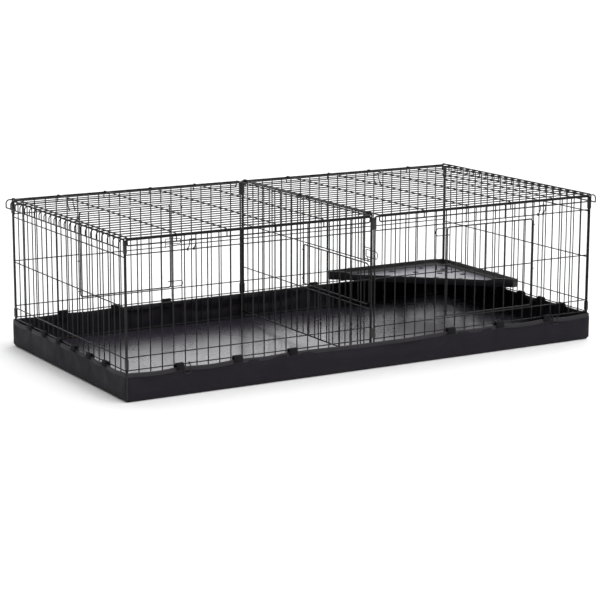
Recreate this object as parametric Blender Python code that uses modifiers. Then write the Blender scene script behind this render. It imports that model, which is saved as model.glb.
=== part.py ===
"""Two-room wire rabbit cage on a low fabric tray.

Six wire panels stand inside an open fabric tray and are held at the corners
and at the middle of the long sides by sleeves slipped over neighbouring posts.
A wire divider stands across the middle.  Its top rail is the rod both lids
swing on.  One door is in the right-hand front panel, one in the left-hand back
panel, and one in the divider.  A plastic corner shelf hangs on the wires of
the back right corner.

Metres, +Z up.  X runs along the cage, -Y is the front, and the origin is on
the underside of the tray at its middle.
"""

import math

import bmesh
import bpy
from mathutils import Matrix, Vector

MM = 0.001

# ---------------------------------------------------------------- dimensions
# All in millimetres.
TRAY_L, TRAY_W, TRAY_H = 1190.0, 605.0, 61.0
TRAY_WALL = 2.5
TRAY_CORNER = 7.0

END_X = 590.0            # plane of the two end panels
LONG_Y = 296.0           # plane of the four long panels
MID_GAP = 4.0            # middle posts of the long panels, either side of x = 0
POST_R = 1.8             # posts and rails of a panel
WIRE_R = 1.1             # thin wires
DOOR_R = 1.5             # door frames and lid rims
CLIP_R = 0.9             # wire of the latches and bolts
END_POST_IN = 4.6        # end panel's post stands this far inside the long panel's
BAYS = 22                # wire spaces in every panel

RAIL_LOW_Z = 5.0
RAIL_TOP_Z = 335.2
LONG_WIRES = (66.0, 93.0, 305.0)    # wires on the outer face of a long panel
LONG_MID = 198.0                    # wire on its inner face
END_WIRES = (64.5, 90.0, 300.0)
END_MID = 194.0
IN_A = -0.4              # upright wires, measured outwards from the panel's plane
OUT_A = 2.1              # level wires outside the uprights
MID_A = -2.9             # level wire inside the uprights

DOOR_FROM, DOOR_TO = 7, 16          # uprights of a door panel that flank its door
DOOR_LOW_Z, DOOR_TOP_Z = 97.2, 296.0
DOOR_MID_Z = 195.0

DIV_POST_Y = 290.0
DIV_ROD_Z = 339.6
DIV_RAIL_Z = 21.0
DIV_FOOT_Z = 4.6
DIV_POST_X = -2.0        # posts and bottom rail of the divider
DIV_UP_X = -1.4          # its uprights
DIV_LEVEL_X = 1.1        # its level wires
DIV_SILL_Z, DIV_HEAD_Z = 129.0, 235.0
DIV_HINGE_BAY = 11
DIV_TWIN_Y = -257.3      # short upright paired with the first one
DIV_GUIDE_Z = (239.8, 264.8)   # guides below and above the latch

LID_IN_X = 12.0          # inner rim wire of a lid, from the rod
LID_END_X = 605.0        # outer lip, clear of the end panel
LID_END_LIP_Z = 321.0
LID_SIDE_Y = 301.3
LID_LIP_Z = 324.5
LID_LONG_Z = 338.4       # wires along x
LID_CROSS_Z = 340.9      # wires along y
LID_CROSS_X = (128.0, 244.5, 361.0, 477.5)
LID_EDGE_X = 588.0       # outer wire along y, part of the rim
LID_EYE_R = 1.5          # wire of the eyes round the rod

SLEEVE_WALL, SLEEVE_FIT = 1.2, 0.3
SLEEVE_TOP = (307.5, 333.0)
SLEEVE_LOW = (68.5, 88.0)

STRAP_W, STRAP_T = 21.0, 1.2
NARROW_STRAP_W, NARROW_STRAP_X = 17.0, -473.4   # the one beside a tray latch

SHELF_Z, SHELF_H, SHELF_LIP = 76.0, 21.0, 16.0
SHELF_X0, SHELF_X1 = 238.0, 587.5
SHELF_Y0, SHELF_Y1 = -28.0, 293.5
SHELF_WALL, SHELF_FLOOR = 2.5, 3.0
SHELF_ROUND = 40.0      # its back corner
SHELF_UNDER = 2.0       # underside of its floor, above the foot of its walls
# drain holes: distance in from the front edge, then places along it
SHELF_HOLES = ((57.0, (-111, -50, 11, 70)), (118.0, (-111, -50, 11, 70)), (176.0, (-46, 11)))

TRAY_LATCH_X = (-456.5, 493.2)
LATCH_LEAN = 10.0        # degrees a lid latch leans out from its hooked place

LONG_LEN = END_X - MID_GAP
LONG_MIDDLE = (END_X + MID_GAP) / 2
HALF = LONG_LEN / 2
PITCH = LONG_LEN / BAYS
END_HALF = LONG_Y - END_POST_IN
END_PITCH = 2 * END_HALF / BAYS
DIV_PITCH = 2 * DIV_POST_Y / BAYS

# ------------------------------------------------------------------- clearing
for old in list(bpy.data.objects):
    bpy.data.objects.remove(old, do_unlink=True)

CAGE = bpy.data.collections.new("wire_rabbit_cage")
bpy.context.scene.collection.children.link(CAGE)


# ------------------------------------------------------------------ materials
def material(name, colour, roughness, metallic):
    made = bpy.data.materials.new(name)
    made.use_nodes = True
    made.diffuse_color = (*colour, 1.0)
    shader = made.node_tree.nodes["Principled BSDF"]
    shader.inputs["Base Color"].default_value = (*colour, 1.0)
    shader.inputs["Roughness"].default_value = roughness
    shader.inputs["Metallic"].default_value = metallic
    return made


COATED = material("black_coated_wire", (0.030, 0.030, 0.034), 0.38, 0.55)
SLEEVE = material("black_sleeve_plastic", (0.022, 0.022, 0.024), 0.50, 0.0)
FABRIC = material("black_tray_fabric", (0.040, 0.037, 0.045), 0.62, 0.0)
TAPE = material("black_strap_tape", (0.030, 0.028, 0.032), 0.80, 0.0)
PLASTIC = material("black_shelf_plastic", (0.045, 0.045, 0.050), 0.42, 0.0)


# -------------------------------------------------------------------- helpers
def wires(paths, radius, sides=4):
    """A curve object of straight-pointed wires. Each path is (points, closed),
    with points in millimetres; sides is 4, 6 or 8."""
    data = bpy.data.curves.new("wires", "CURVE")
    data.dimensions = "3D"
    data.bevel_depth = radius * MM
    data.bevel_resolution = (sides - 4) // 2
    data.use_fill_caps = True
    for points, closed in paths:
        spline = data.splines.new("POLY")
        spline.points.add(len(points) - 1)
        for place, point in zip(spline.points, points):
            place.co = (*(Vector(point) * MM), 1.0)
        spline.use_cyclic_u = closed
    made = bpy.data.objects.new("wires", data)
    CAGE.objects.link(made)
    return made


def flat(outlines, low, high):
    """A curve object of a level outline filled from height low to high.
    The first outline is the outer one, and the others are holes."""
    data = bpy.data.curves.new("flat", "CURVE")
    data.dimensions = "2D"
    data.fill_mode = "BOTH"
    data.extrude = (high - low) / 2 * MM
    for outline in outlines:
        spline = data.splines.new("POLY")
        spline.points.add(len(outline) - 1)
        for place, (x, y) in zip(spline.points, outline):
            place.co = (x * MM, y * MM, 0.0, 1.0)
        spline.use_cyclic_u = True
    made = bpy.data.objects.new("flat", data)
    made.location = (0.0, 0.0, (low + high) / 2 * MM)
    CAGE.objects.link(made)
    return made


def as_mesh(curve):
    """The curve as a mesh object with its caps welded, in place of the curve."""
    bpy.context.view_layer.update()
    graph = bpy.context.evaluated_depsgraph_get()
    mesh = bpy.data.meshes.new_from_object(curve.evaluated_get(graph))
    shape = bmesh.new()
    shape.from_mesh(mesh)
    bmesh.ops.remove_doubles(shape, verts=shape.verts, dist=1e-7)
    bmesh.ops.recalc_face_normals(shape, faces=shape.faces)
    bmesh.ops.transform(shape, matrix=curve.matrix_world, verts=shape.verts)
    shape.to_mesh(mesh)
    shape.free()
    made = bpy.data.objects.new("mesh", mesh)
    CAGE.objects.link(made)
    bpy.data.objects.remove(curve, do_unlink=True)
    return made


def combined(base, others, operation="UNION"):
    """The base mesh object joined with (or cut by) the others, applied."""
    for other in others:
        step = base.modifiers.new(operation.lower(), "BOOLEAN")
        step.operation = operation
        step.solver = "EXACT"
        step.object = other
    bpy.context.view_layer.update()
    graph = bpy.context.evaluated_depsgraph_get()
    mesh = bpy.data.meshes.new_from_object(base.evaluated_get(graph))
    base.modifiers.clear()
    base.data = mesh
    for other in others:
        bpy.data.objects.remove(other, do_unlink=True)
    return base


def finish(obj, name, paint, location=(0, 0, 0), turn=0.0):
    """Names, paints and places an object whose mesh is in its own frame."""
    obj.name = name
    obj.data.name = name
    obj.data.materials.clear()
    obj.data.materials.append(paint)
    obj.data.shade_smooth()
    obj.data.set_sharp_from_angle(angle=math.radians(50))
    obj.location = Vector(location) * MM
    obj.rotation_euler = (0.0, 0.0, math.radians(turn))
    return obj


def twin(obj, name, location=(0, 0, 0), turn=0.0):
    """A second object that shares the first one's mesh."""
    made = bpy.data.objects.new(name, obj.data)
    CAGE.objects.link(made)
    made.location = Vector(location) * MM
    made.rotation_euler = (0.0, 0.0, math.radians(turn))
    return made


def moved(obj, offset):
    """The object's mesh shifted in its own frame, in millimetres."""
    obj.data.transform(Matrix.Translation(Vector(offset) * MM))
    return obj


def ring(centre, radius, normal, count=8):
    """Points of a closed ring of the given radius about centre."""
    normal = Vector(normal)
    first = normal.orthogonal().normalized()
    second = normal.cross(first)
    points = []
    for i in range(count):
        angle = 2 * math.pi * (i + 0.5) / count
        points.append(
            Vector(centre) + radius * (math.cos(angle) * first + math.sin(angle) * second)
        )
    return points


def block(low, high):
    """A mesh box between two corners."""
    shape = bmesh.new()
    bmesh.ops.create_cube(shape, size=1.0)
    size = Vector(high) - Vector(low)
    middle = (Vector(high) + Vector(low)) / 2
    bmesh.ops.scale(shape, vec=size * MM, verts=shape.verts)
    bmesh.ops.translate(shape, vec=middle * MM, verts=shape.verts)
    mesh = bpy.data.meshes.new("block")
    shape.to_mesh(mesh)
    shape.free()
    made = bpy.data.objects.new("block", mesh)
    CAGE.objects.link(made)
    return made


# --------------------------------------------------------------------- panels
# A panel's own frame: u along the panel, a outwards, z up.  The panel is built
# with u on +X and a on -Y, so a panel with no turn is a front panel.
def at(u, a, z):
    return (u, -a, z)


def rectangle(half, low, high, corner, a=0.0):
    """Closed loop of an upright rectangle with clipped corners."""
    return [
        at(-half + corner, a, low),
        at(half - corner, a, low),
        at(half, a, low + corner),
        at(half, a, high - corner),
        at(half - corner, a, high),
        at(-half + corner, a, high),
        at(-half, a, high - corner),
        at(-half, a, low + corner),
    ]


def panel(half, pitch, levels, mid, opening=None):
    """A welded wire panel: a closed frame, uprights, level wires outside the
    uprights and one inside them.  An opening is the pair of uprights that
    flank a door, between the second and the third level wire."""
    frame = as_mesh(wires([(rectangle(half, RAIL_LOW_Z, RAIL_TOP_Z, 2.0), True)], POST_R, 6))
    thin = []
    for k in range(1, BAYS):
        u = -half + pitch * k
        if opening and opening[0] < k < opening[1]:
            thin.append(([at(u, IN_A, RAIL_LOW_Z), at(u, IN_A, levels[1] + 1.6)], False))
            thin.append(([at(u, IN_A, levels[2] - 1.6), at(u, IN_A, RAIL_TOP_Z)], False))
        else:
            thin.append(([at(u, IN_A, RAIL_LOW_Z), at(u, IN_A, RAIL_TOP_Z)], False))
    for z in levels:
        thin.append(([at(-half, OUT_A, z), at(half, OUT_A, z)], False))
    frame = combined(frame, [as_mesh(wires(thin, WIRE_R))])
    step = 6.0
    if opening:
        left = -half + pitch * opening[0]
        right = -half + pitch * opening[1]
        mids = [
            ([at(-half, -0.6, mid), at(-half + step, MID_A, mid), at(left - step, MID_A, mid), at(left, IN_A, mid)], False),
            ([at(right, IN_A, mid), at(right + step, MID_A, mid), at(half - step, MID_A, mid), at(half, -0.6, mid)], False),
        ]
    else:
        mids = [
            ([at(-half, -0.6, mid), at(-half + step, MID_A, mid), at(half - step, MID_A, mid), at(half, -0.6, mid)], False)
        ]
    return combined(frame, [as_mesh(wires(mids, WIRE_R))])


front_left_panel = finish(
    panel(HALF, PITCH, LONG_WIRES, LONG_MID),
    "front_left_panel", COATED, (-LONG_MIDDLE, -LONG_Y, 0),
)
back_right_panel = twin(front_left_panel, "back_right_panel", (LONG_MIDDLE, LONG_Y, 0), 180)

front_right_panel = finish(
    panel(HALF, PITCH, LONG_WIRES, LONG_MID, (DOOR_FROM, DOOR_TO)),
    "front_right_panel", COATED, (LONG_MIDDLE, -LONG_Y, 0),
)
back_left_panel = twin(front_right_panel, "back_left_panel", (-LONG_MIDDLE, LONG_Y, 0), 180)

right_end_panel = finish(
    panel(END_HALF, END_PITCH, END_WIRES, END_MID),
    "right_end_panel", COATED, (END_X, 0, 0), 90,
)
left_end_panel = twin(right_end_panel, "left_end_panel", (-END_X, 0, 0), 270)


# ------------------------------------------------------------------- the doors
# The hinge is the panel's own upright: three eyes on the door turn round it.
HINGE_U = -HALF + PITCH * DOOR_TO
EYE_R = WIRE_R + 0.35 + CLIP_R


def panel_door():
    left, right = -103.2, 129.4
    corner = 3.0
    low, top = DOOR_LOW_Z, DOOR_TOP_Z
    loop = [
        at(left + corner, 0, low), at(right - corner, 0, low),
        at(right, 0, low + corner), at(right, 0, top - corner),
        at(right - corner, 0, top), at(left + corner, 0, top),
        at(left, 0, top - corner), at(left, 0, low + corner),
    ]
    body = as_mesh(wires([(loop, True)], DOOR_R, 6))
    thin = []
    for k in range(DOOR_FROM + 1, DOOR_TO):
        u = -HALF + PITCH * k
        thin.append(([at(u, -0.3, low), at(u, -0.3, top)], False))
    thin.append(([at(left, 2.2, DOOR_MID_Z), at(right, 2.2, DOOR_MID_Z)], False))
    body = combined(body, [as_mesh(wires(thin, WIRE_R))])
    # hairpin stops that lap over the upright beside the door
    stops = []
    for z0, z1 in ((279.0, 295.6), (97.6, 110.5)):
        stops.append((
            [at(left + 6.0, 2.0, z0), at(left - 29.5, 2.0, z0), at(left - 33.0, 2.0, z0 + 3.5),
             at(left - 33.0, 2.0, z1 - 3.5), at(left - 29.5, 2.0, z1), at(left + 6.0, 2.0, z1)],
            False,
        ))
    body = combined(body, [as_mesh(wires(stops, 1.0))])
    eyes = [
        (ring(at(HINGE_U, IN_A, z), EYE_R, (0, 0, 1)), True) for z in (111.0, 182.0, 283.0)
    ]
    body = combined(body, [as_mesh(wires(eyes, CLIP_R))])
    return moved(body, (-HINGE_U, IN_A, 0))


door_front_right = finish(
    panel_door(), "door_front_right", COATED,
    (LONG_MIDDLE + HINGE_U, -LONG_Y - IN_A, 0),
)
door_back_left = twin(
    door_front_right, "door_back_left", (-LONG_MIDDLE - HINGE_U, LONG_Y + IN_A, 0), 180
)

BOLT_U = -92.0


def door_bolt():
    """A flattened wire loop that slides on the door's middle wire, with its
    nose stepped inwards so that it can pass behind the panel's upright."""
    low, top = 201.5, 213.5
    a, nose_a = 2.9, -2.7
    loop = [
        at(BOLT_U, a, low), at(-116.0, a, low), at(-124.5, nose_a, low), at(-127.5, nose_a, low),
        at(-129.0, nose_a, low + 1.8), at(-129.0, nose_a, top - 1.8),
        at(-127.5, nose_a, top), at(-124.5, nose_a, top), at(-116.0, a, top), at(BOLT_U, a, top),
    ]
    body = as_mesh(wires([(loop, True)], CLIP_R))
    hook = [at(BOLT_U, a, low)]
    for angle in (78, 50, 25, 0, -25, -50, -75, -93):
        turn = math.radians(angle)
        hook.append(at(BOLT_U, 2.2 + EYE_R * math.cos(turn), DOOR_MID_Z + EYE_R * math.sin(turn)))
    body = combined(body, [as_mesh(wires([(hook, False)], CLIP_R * 0.96))])
    return moved(body, (-BOLT_U, 0, 0))


bolt_front_right = finish(
    door_bolt(), "door_bolt_front_right", COATED, (LONG_MIDDLE + BOLT_U, -LONG_Y, 0)
)
bolt_back_left = twin(
    bolt_front_right, "door_bolt_back_left", (-LONG_MIDDLE - BOLT_U, LONG_Y, 0), 180
)


# ---------------------------------------------------------------- the divider
def divider():
    """A frame across the cage.  Its top rail is the rod of both lids."""
    y = DIV_POST_Y
    foot, rod = DIV_FOOT_Z, DIV_ROD_Z
    frame = as_mesh(wires(
        [([(DIV_POST_X, -y, foot), (DIV_POST_X, -y, rod - 14), (0, -y, rod - 3), (0, -y + 3, rod),
           (0, y - 3, rod), (0, y, rod - 3), (DIV_POST_X, y, rod - 14), (DIV_POST_X, y, foot)], False)],
        POST_R, 6,
    ))
    rail = as_mesh(wires([([(DIV_POST_X, -y, DIV_RAIL_Z), (DIV_POST_X, y, DIV_RAIL_Z)], False)], POST_R * 0.9, 6))
    frame = combined(frame, [rail])
    thin = []
    for k in range(1, BAYS):
        place = -y + DIV_PITCH * k
        if k < DIV_HINGE_BAY:
            thin.append(([(DIV_UP_X, place, DIV_RAIL_Z), (DIV_UP_X, place, DIV_SILL_Z + 1.6)], False))
            thin.append(([(DIV_UP_X, place, DIV_HEAD_Z - 1.6), (DIV_UP_X, place, rod)], False))
        else:
            thin.append(([(DIV_UP_X, place, DIV_RAIL_Z), (DIV_UP_X, place, rod)], False))
    thin.append(([(DIV_UP_X, DIV_TWIN_Y, DIV_HEAD_Z - 1.6), (DIV_UP_X, DIV_TWIN_Y, rod)], False))
    x = DIV_LEVEL_X
    for z in (DIV_SILL_Z, DIV_HEAD_Z):
        thin.append(([(-0.9, -y, z), (x, -y + 4, z), (x, y - 4, z), (-0.9, y, z)], False))
    frame = combined(frame, [as_mesh(wires(thin, WIRE_R))])
    guides = [([(DIV_UP_X, -y, z), (DIV_UP_X, -y + DIV_PITCH, z)], False) for z in DIV_GUIDE_Z]
    return combined(frame, [as_mesh(wires(guides, CLIP_R))])


divider_panel = finish(divider(), "divider_panel", COATED)
DIV_HINGE_Y = -DIV_POST_Y + DIV_PITCH * DIV_HINGE_BAY


def divider_gate():
    """The low pass-through door, hinged on the divider's middle upright."""
    near, far = DIV_HINGE_Y - 3.9, -282.0
    low, top, corner = 139.0, 230.0, 9.0
    loop = [
        (0, near - 3, low), (0, far + corner, low), (0, far + corner * 0.3, low + corner * 0.3),
        (0, far, low + corner), (0, far, top - corner), (0, far + corner * 0.3, top - corner * 0.3),
        (0, far + corner, top), (0, near - 3, top), (0, near, top - 3), (0, near, low + 3),
    ]
    body = as_mesh(wires([(loop, True)], DOOR_R, 6))
    thin = []
    for k in range(1, DIV_HINGE_BAY):
        place = -DIV_POST_Y + DIV_PITCH * k
        thin.append(([(0.1, place, low), (0.1, place, top)], False))
    body = combined(body, [as_mesh(wires(thin, WIRE_R))])
    eyes = [(ring((0, DIV_HINGE_Y, z), EYE_R, (0, 0, 1)), True) for z in (151.0, 218.0)]
    body = combined(body, [as_mesh(wires(eyes, CLIP_R))])
    return moved(body, (0, -DIV_HINGE_Y, 0))


door_divider = finish(divider_gate(), "door_divider", COATED, (DIV_UP_X, DIV_HINGE_Y, 0))

KEY_Y = -272.0


def divider_key():
    """The flat wire loop that pins the divider between the front posts.  Its
    hook hangs over the header wire and leaves the uprights' side free."""
    tail, nose = -266.0, -312.0
    low, top = 244.0, 259.5
    x = -0.1
    loop = [
        (x, tail, low), (x, nose + 4, low), (x, nose, low + 4), (x, nose, top - 4),
        (x, nose + 4, top), (x, tail, top),
    ]
    body = as_mesh(wires([(loop, True)], CLIP_R))
    hook = [(x, KEY_Y, low), (0.0, KEY_Y, DIV_HEAD_Z + 5.0)]
    for angle in (75, 50, 25, 0, -25, -50, -75, -95):
        turn = math.radians(angle)
        hook.append((EYE_R * math.cos(turn), KEY_Y, DIV_HEAD_Z + EYE_R * math.sin(turn)))
    body = combined(body, [as_mesh(wires([(hook, False)], CLIP_R * 0.96))])
    return moved(body, (0, -KEY_Y, 0))


finish(divider_key(), "divider_latch", COATED, (DIV_LEVEL_X, KEY_Y, 0))


# -------------------------------------------------------------------- the lids
# Built as the left lid, with the rod's axis at its own origin.
def lid():
    rod = DIV_ROD_Z
    end, edge, side, inner = -LID_END_X, -LID_EDGE_X, LID_SIDE_Y, -LID_IN_X
    lip = LID_LIP_Z - rod
    top = 339.0 - rod
    long_z = LID_LONG_Z - rod
    cross_z = LID_CROSS_Z - rod
    rim = [
        (edge, -side, lip + 3), (edge + 3, -side, lip),
        (inner - 4, -side, lip), (inner, -side, lip + 4), (inner, -side, top - 3.5), (inner, -side + 3.5, top),
        (inner, side - 3.5, top), (inner, side, top - 3.5), (inner, side, lip + 4), (inner - 4, side, lip),
        (edge + 3, side, lip), (edge, side, lip + 3),
        (edge, side, cross_z - 4), (edge, side - 4, cross_z), (edge, -side + 4, cross_z), (edge, -side, cross_z - 4),
    ]
    body = as_mesh(wires([(rim, True)], DOOR_R, 8))
    thin = []
    for k in range(23):
        y = -297.0 + 27.0 * k
        thin.append(([
            (inner, y, long_z), (end + 10, y, long_z), (end + 3, y, long_z - 2.6),
            (end, y, long_z - 9), (end, y, LID_END_LIP_Z - rod),
        ], False))
    for x in LID_CROSS_X:
        thin.append(([
            (-x, -side, lip), (-x, -side, cross_z - 4), (-x, -side + 4, cross_z),
            (-x, side - 4, cross_z), (-x, side, cross_z - 4), (-x, side, lip),
        ], False))
    body = combined(body, [as_mesh(wires(thin, WIRE_R))])
    outer_lip = [(end, -297.7, LID_END_LIP_Z - rod), (end, 297.7, LID_END_LIP_Z - rod)]
    body = combined(body, [as_mesh(wires([(outer_lip, False)], DOOR_R * 0.9, 8))])
    reach = POST_R + 0.4 + LID_EYE_R
    arms, eyes = [], []
    for k in (0, 11, 21):
        y = -DIV_POST_Y + DIV_PITCH * (k + 0.5) + 4.0
        arms.append(([(inner, y, top), (-reach * 0.7, y, reach * 0.7)], False))
        eyes.append((ring((0, y, 0), reach, (0, 1, 0), 10), True))
    body = combined(body, [as_mesh(wires(arms, WIRE_R * 0.96))])
    return combined(body, [as_mesh(wires(eyes, LID_EYE_R))])


lid_left = finish(lid(), "lid_left", COATED, (0, 0, DIV_ROD_Z))
lid_right = twin(lid_left, "lid_right", (0, 0, DIV_ROD_Z), 180)


# ----------------------------------------------------------------- lid latches
# Each is one bent wire that turns on a long panel's upper level wire.  It is
# built hooked over the lid's lip and then leaned out by LATCH_LEAN.
def lid_latch():
    half = 7.0
    eyes, side = [], []
    for s in (-half, half):
        eyes.append((ring((s, 0, 0), EYE_R, (1, 0, 0)), True))
    path = [
        (-half, -EYE_R, 0.0), (-half, -2.9, 4.5), (-half, -6.0, 12.5), (-half, -6.0, 21.0),
        (-half, -4.6, 22.6), (-half, -2.4, 22.6),
        (half, -2.4, 22.6), (half, -4.6, 22.6),
        (half, -6.0, 21.0), (half, -6.0, 12.5), (half, -2.9, 4.5), (half, -EYE_R, 0.0),
    ]
    body = as_mesh(wires([(path, False)], CLIP_R * 0.96))
    body = combined(body, [as_mesh(wires(eyes, CLIP_R))])
    body.data.transform(Matrix.Rotation(math.radians(LATCH_LEAN), 4, "X"))
    return body


PIVOT_Y = LONG_Y + OUT_A


def bay(panel_sign, k):
    """Middle of wire space k, counted from the middle of the cage outwards."""
    return panel_sign * (MID_GAP + PITCH * (k + 0.5))


latch = finish(
    lid_latch(), "lid_latch_front_left", COATED, (bay(-1, 16), -PIVOT_Y, LONG_WIRES[2])
)
twin(latch, "lid_latch_front_right", (bay(1, 16) + 3.5, -PIVOT_Y, LONG_WIRES[2]))
twin(latch, "lid_latch_back_left", (bay(-1, 16), PIVOT_Y, LONG_WIRES[2]), 180)
twin(latch, "lid_latch_back_right", (bay(1, 14), PIVOT_Y, LONG_WIRES[2]), 180)


# Two more of the same wire turn on the front panels' lowest level wires and
# hang down over the outside of the tray.
def tray_latch():
    half, out, drop = 7.0, -6.6, -20.0
    eyes = [(ring((s, 0, 0), EYE_R, (1, 0, 0)), True) for s in (-half, half)]
    path = [
        (-half, -EYE_R, 0.0), (-half, out, -4.0), (-half, out, drop + 2.5), (-half + 2.5, out, drop),
        (half - 2.5, out, drop), (half, out, drop + 2.5), (half, out, -4.0), (half, -EYE_R, 0.0),
    ]
    body = as_mesh(wires([(path, False)], CLIP_R * 0.96))
    return combined(body, [as_mesh(wires(eyes, CLIP_R))])


hanging = finish(
    tray_latch(), "tray_latch_front_left", COATED, (TRAY_LATCH_X[0], -PIVOT_Y, LONG_WIRES[0])
)
twin(hanging, "tray_latch_front_right", (TRAY_LATCH_X[1], -PIVOT_Y, LONG_WIRES[0]))


# --------------------------------------------------------------------- sleeves
def stadium(half, radius, count=5):
    """Outline of a slot along x, with round ends."""
    points = []
    for end, start in ((half, -90.0), (-half, 90.0)):
        for i in range(count):
            angle = math.radians(start + 180.0 * i / (count - 1))
            points.append((end + radius * math.cos(angle), radius * math.sin(angle)))
    return points


def sleeve(half, span, name, location, turn=0.0):
    inner = POST_R + SLEEVE_FIT
    body = flat(
        [stadium(half, inner + SLEEVE_WALL), stadium(half, inner)],
        0.0, span[1] - span[0],
    )
    return finish(as_mesh(body), name, SLEEVE, (*location, span[0]), turn)


for ends, span in (("top", SLEEVE_TOP), ("bottom", SLEEVE_LOW)):
    first = None
    for side_x, name_x in ((-1, "left"), (1, "right")):
        for side_y, name_y in ((-1, "front"), (1, "back")):
            name = f"corner_sleeve_{ends}_{name_y}_{name_x}"
            place = (side_x * END_X, side_y * (LONG_Y - END_POST_IN / 2))
            if first is None:
                first = sleeve(END_POST_IN / 2, span, name, place, 90)
            else:
                twin(first, name, (*place, span[0]), 90)
    front = sleeve(MID_GAP, span, f"middle_sleeve_{ends}_front", (0, -LONG_Y))
    twin(front, f"middle_sleeve_{ends}_back", (0, LONG_Y, span[0]))


# ------------------------------------------------------------- the fabric tray
def tray():
    """An open box of board-stiffened cloth, as an open surface made solid."""
    shape = bmesh.new()
    bmesh.ops.create_cube(shape, size=1.0)
    bmesh.ops.scale(shape, vec=Vector((TRAY_L, TRAY_W, TRAY_H)) * MM, verts=shape.verts)
    bmesh.ops.translate(shape, vec=(0, 0, TRAY_H / 2 * MM), verts=shape.verts)
    upright = [
        e for e in shape.edges
        if abs(e.verts[0].co.z - e.verts[1].co.z) > TRAY_H / 2 * MM
    ]
    bmesh.ops.bevel(
        shape, geom=upright, offset=TRAY_CORNER * MM, offset_type="OFFSET",
        segments=4, profile=0.5, affect="EDGES",
    )
    lid_faces = [f for f in shape.faces if f.calc_center_median().z > (TRAY_H - 0.5) * MM]
    bmesh.ops.delete(shape, geom=lid_faces, context="FACES")
    mesh = bpy.data.meshes.new("tray")
    shape.to_mesh(mesh)
    shape.free()
    made = bpy.data.objects.new("tray", mesh)
    CAGE.objects.link(made)
    thick = made.modifiers.new("wall", "SOLIDIFY")
    thick.thickness = TRAY_WALL * MM
    thick.offset = -1.0
    thick.use_even_offset = True
    return combined(made, [])


finish(tray(), "fabric_tray", FABRIC)


# --------------------------------------------------------------- fabric straps
def strap_line(wall_a, level):
    """The line of a tape loop sewn to the outside of the tray, taken over the
    panel's lowest level wire and down between two uprights."""
    out = wall_a + 0.3 + STRAP_T / 2
    return [
        (out, 46.0), (out, level - 3.5), (out - 0.8, level + 0.6), (out - 2.2, level + 2.6),
        (OUT_A, level + 3.2), (0.1, level + 2.2), (-0.9, level), (-0.9, level - 16.0),
    ]


def strap(wall_a, level, name, location, turn, width=STRAP_W):
    """The tape as a ribbon of quads along its line, made solid."""
    shape = bmesh.new()
    edge = []
    for a, z in strap_line(wall_a, level):
        edge.append(shape.verts.new(Vector((-width / 2, -a, z)) * MM))
    run = [shape.edges.new((p, q)) for p, q in zip(edge, edge[1:])]
    swept = bmesh.ops.extrude_edge_only(shape, edges=run)
    fresh = [v for v in swept["geom"] if isinstance(v, bmesh.types.BMVert)]
    bmesh.ops.translate(shape, vec=(width * MM, 0, 0), verts=fresh)
    bmesh.ops.recalc_face_normals(shape, faces=shape.faces)
    mesh = bpy.data.meshes.new("strap")
    shape.to_mesh(mesh)
    shape.free()
    made = bpy.data.objects.new("strap", mesh)
    CAGE.objects.link(made)
    thick = made.modifiers.new("tape", "SOLIDIFY")
    thick.thickness = STRAP_T * MM
    thick.offset = 0.0
    thick.use_even_offset = True
    return finish(combined(made, []), name, TAPE, location, turn)


LONG_WALL_A = TRAY_W / 2 - LONG_Y
END_WALL_A = TRAY_L / 2 - END_X
long_strap = None
for side_y, name_y, turn in ((-1, "front", 0), (1, "back", 180)):
    for index, (side_x, k) in enumerate(((-1, 17), (-1, 12), (-1, 7), (1, 7), (1, 12), (1, 17))):
        name = f"strap_{name_y}_{index + 1}"
        place = (bay(side_x, k), side_y * LONG_Y, 0)
        if name == "strap_front_1":
            place = (NARROW_STRAP_X, side_y * LONG_Y, 0)
            strap(LONG_WALL_A, LONG_WIRES[0], name, place, turn, NARROW_STRAP_W)
        elif long_strap is None:
            long_strap = strap(LONG_WALL_A, LONG_WIRES[0], name, place, turn)
        else:
            twin(long_strap, name, place, turn)
end_strap = None
for side_x, name_x, turn in ((-1, "left", 270), (1, "right", 90)):
    for index, k in enumerate((3, 6, 9, 12, 15, 18)):
        name = f"strap_{name_x}_{index + 1}"
        place = (side_x * END_X, -END_HALF + END_PITCH * (k + 0.5), 0)
        if end_strap is None:
            end_strap = strap(END_WALL_A, END_WIRES[0], name, place, turn)
        else:
            twin(end_strap, name, place, turn)


# ------------------------------------------------------------ the corner shelf
def shelf_outline(inset):
    """The shelf seen from above, drawn in by inset: two long sides along the
    panels, a round corner, short blunt tips and a straight front."""
    x0, x1 = SHELF_X0, SHELF_X1 - inset
    y0, y1 = SHELF_Y0, SHELF_Y1 - inset
    radius = SHELF_ROUND - inset
    points = []
    for i in range(7):
        angle = math.radians(90.0 * i / 6)
        points.append((x1 - radius + radius * math.cos(angle), y1 - radius + radius * math.sin(angle)))
    blunt = 13.0
    a = Vector((x0 + 0.0, y1 + inset - blunt))
    b = Vector((x1 + inset - blunt, y0 + 0.0))
    along = (b - a).normalized()
    inwards = Vector((-along.y, along.x))
    left = Vector((x0, 0)).x + inset
    low = Vector((0, y0)).y + inset
    # front line moved inwards, met with the tips' lines
    a2 = a + inwards * inset
    t = (left - a2.x) / along.x
    front_left = a2 + along * t
    t = (low - a2.y) / along.y
    front_right = a2 + along * t
    return points + [(left, y1), tuple(front_left), tuple(front_right), (x1, low)]


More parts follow.
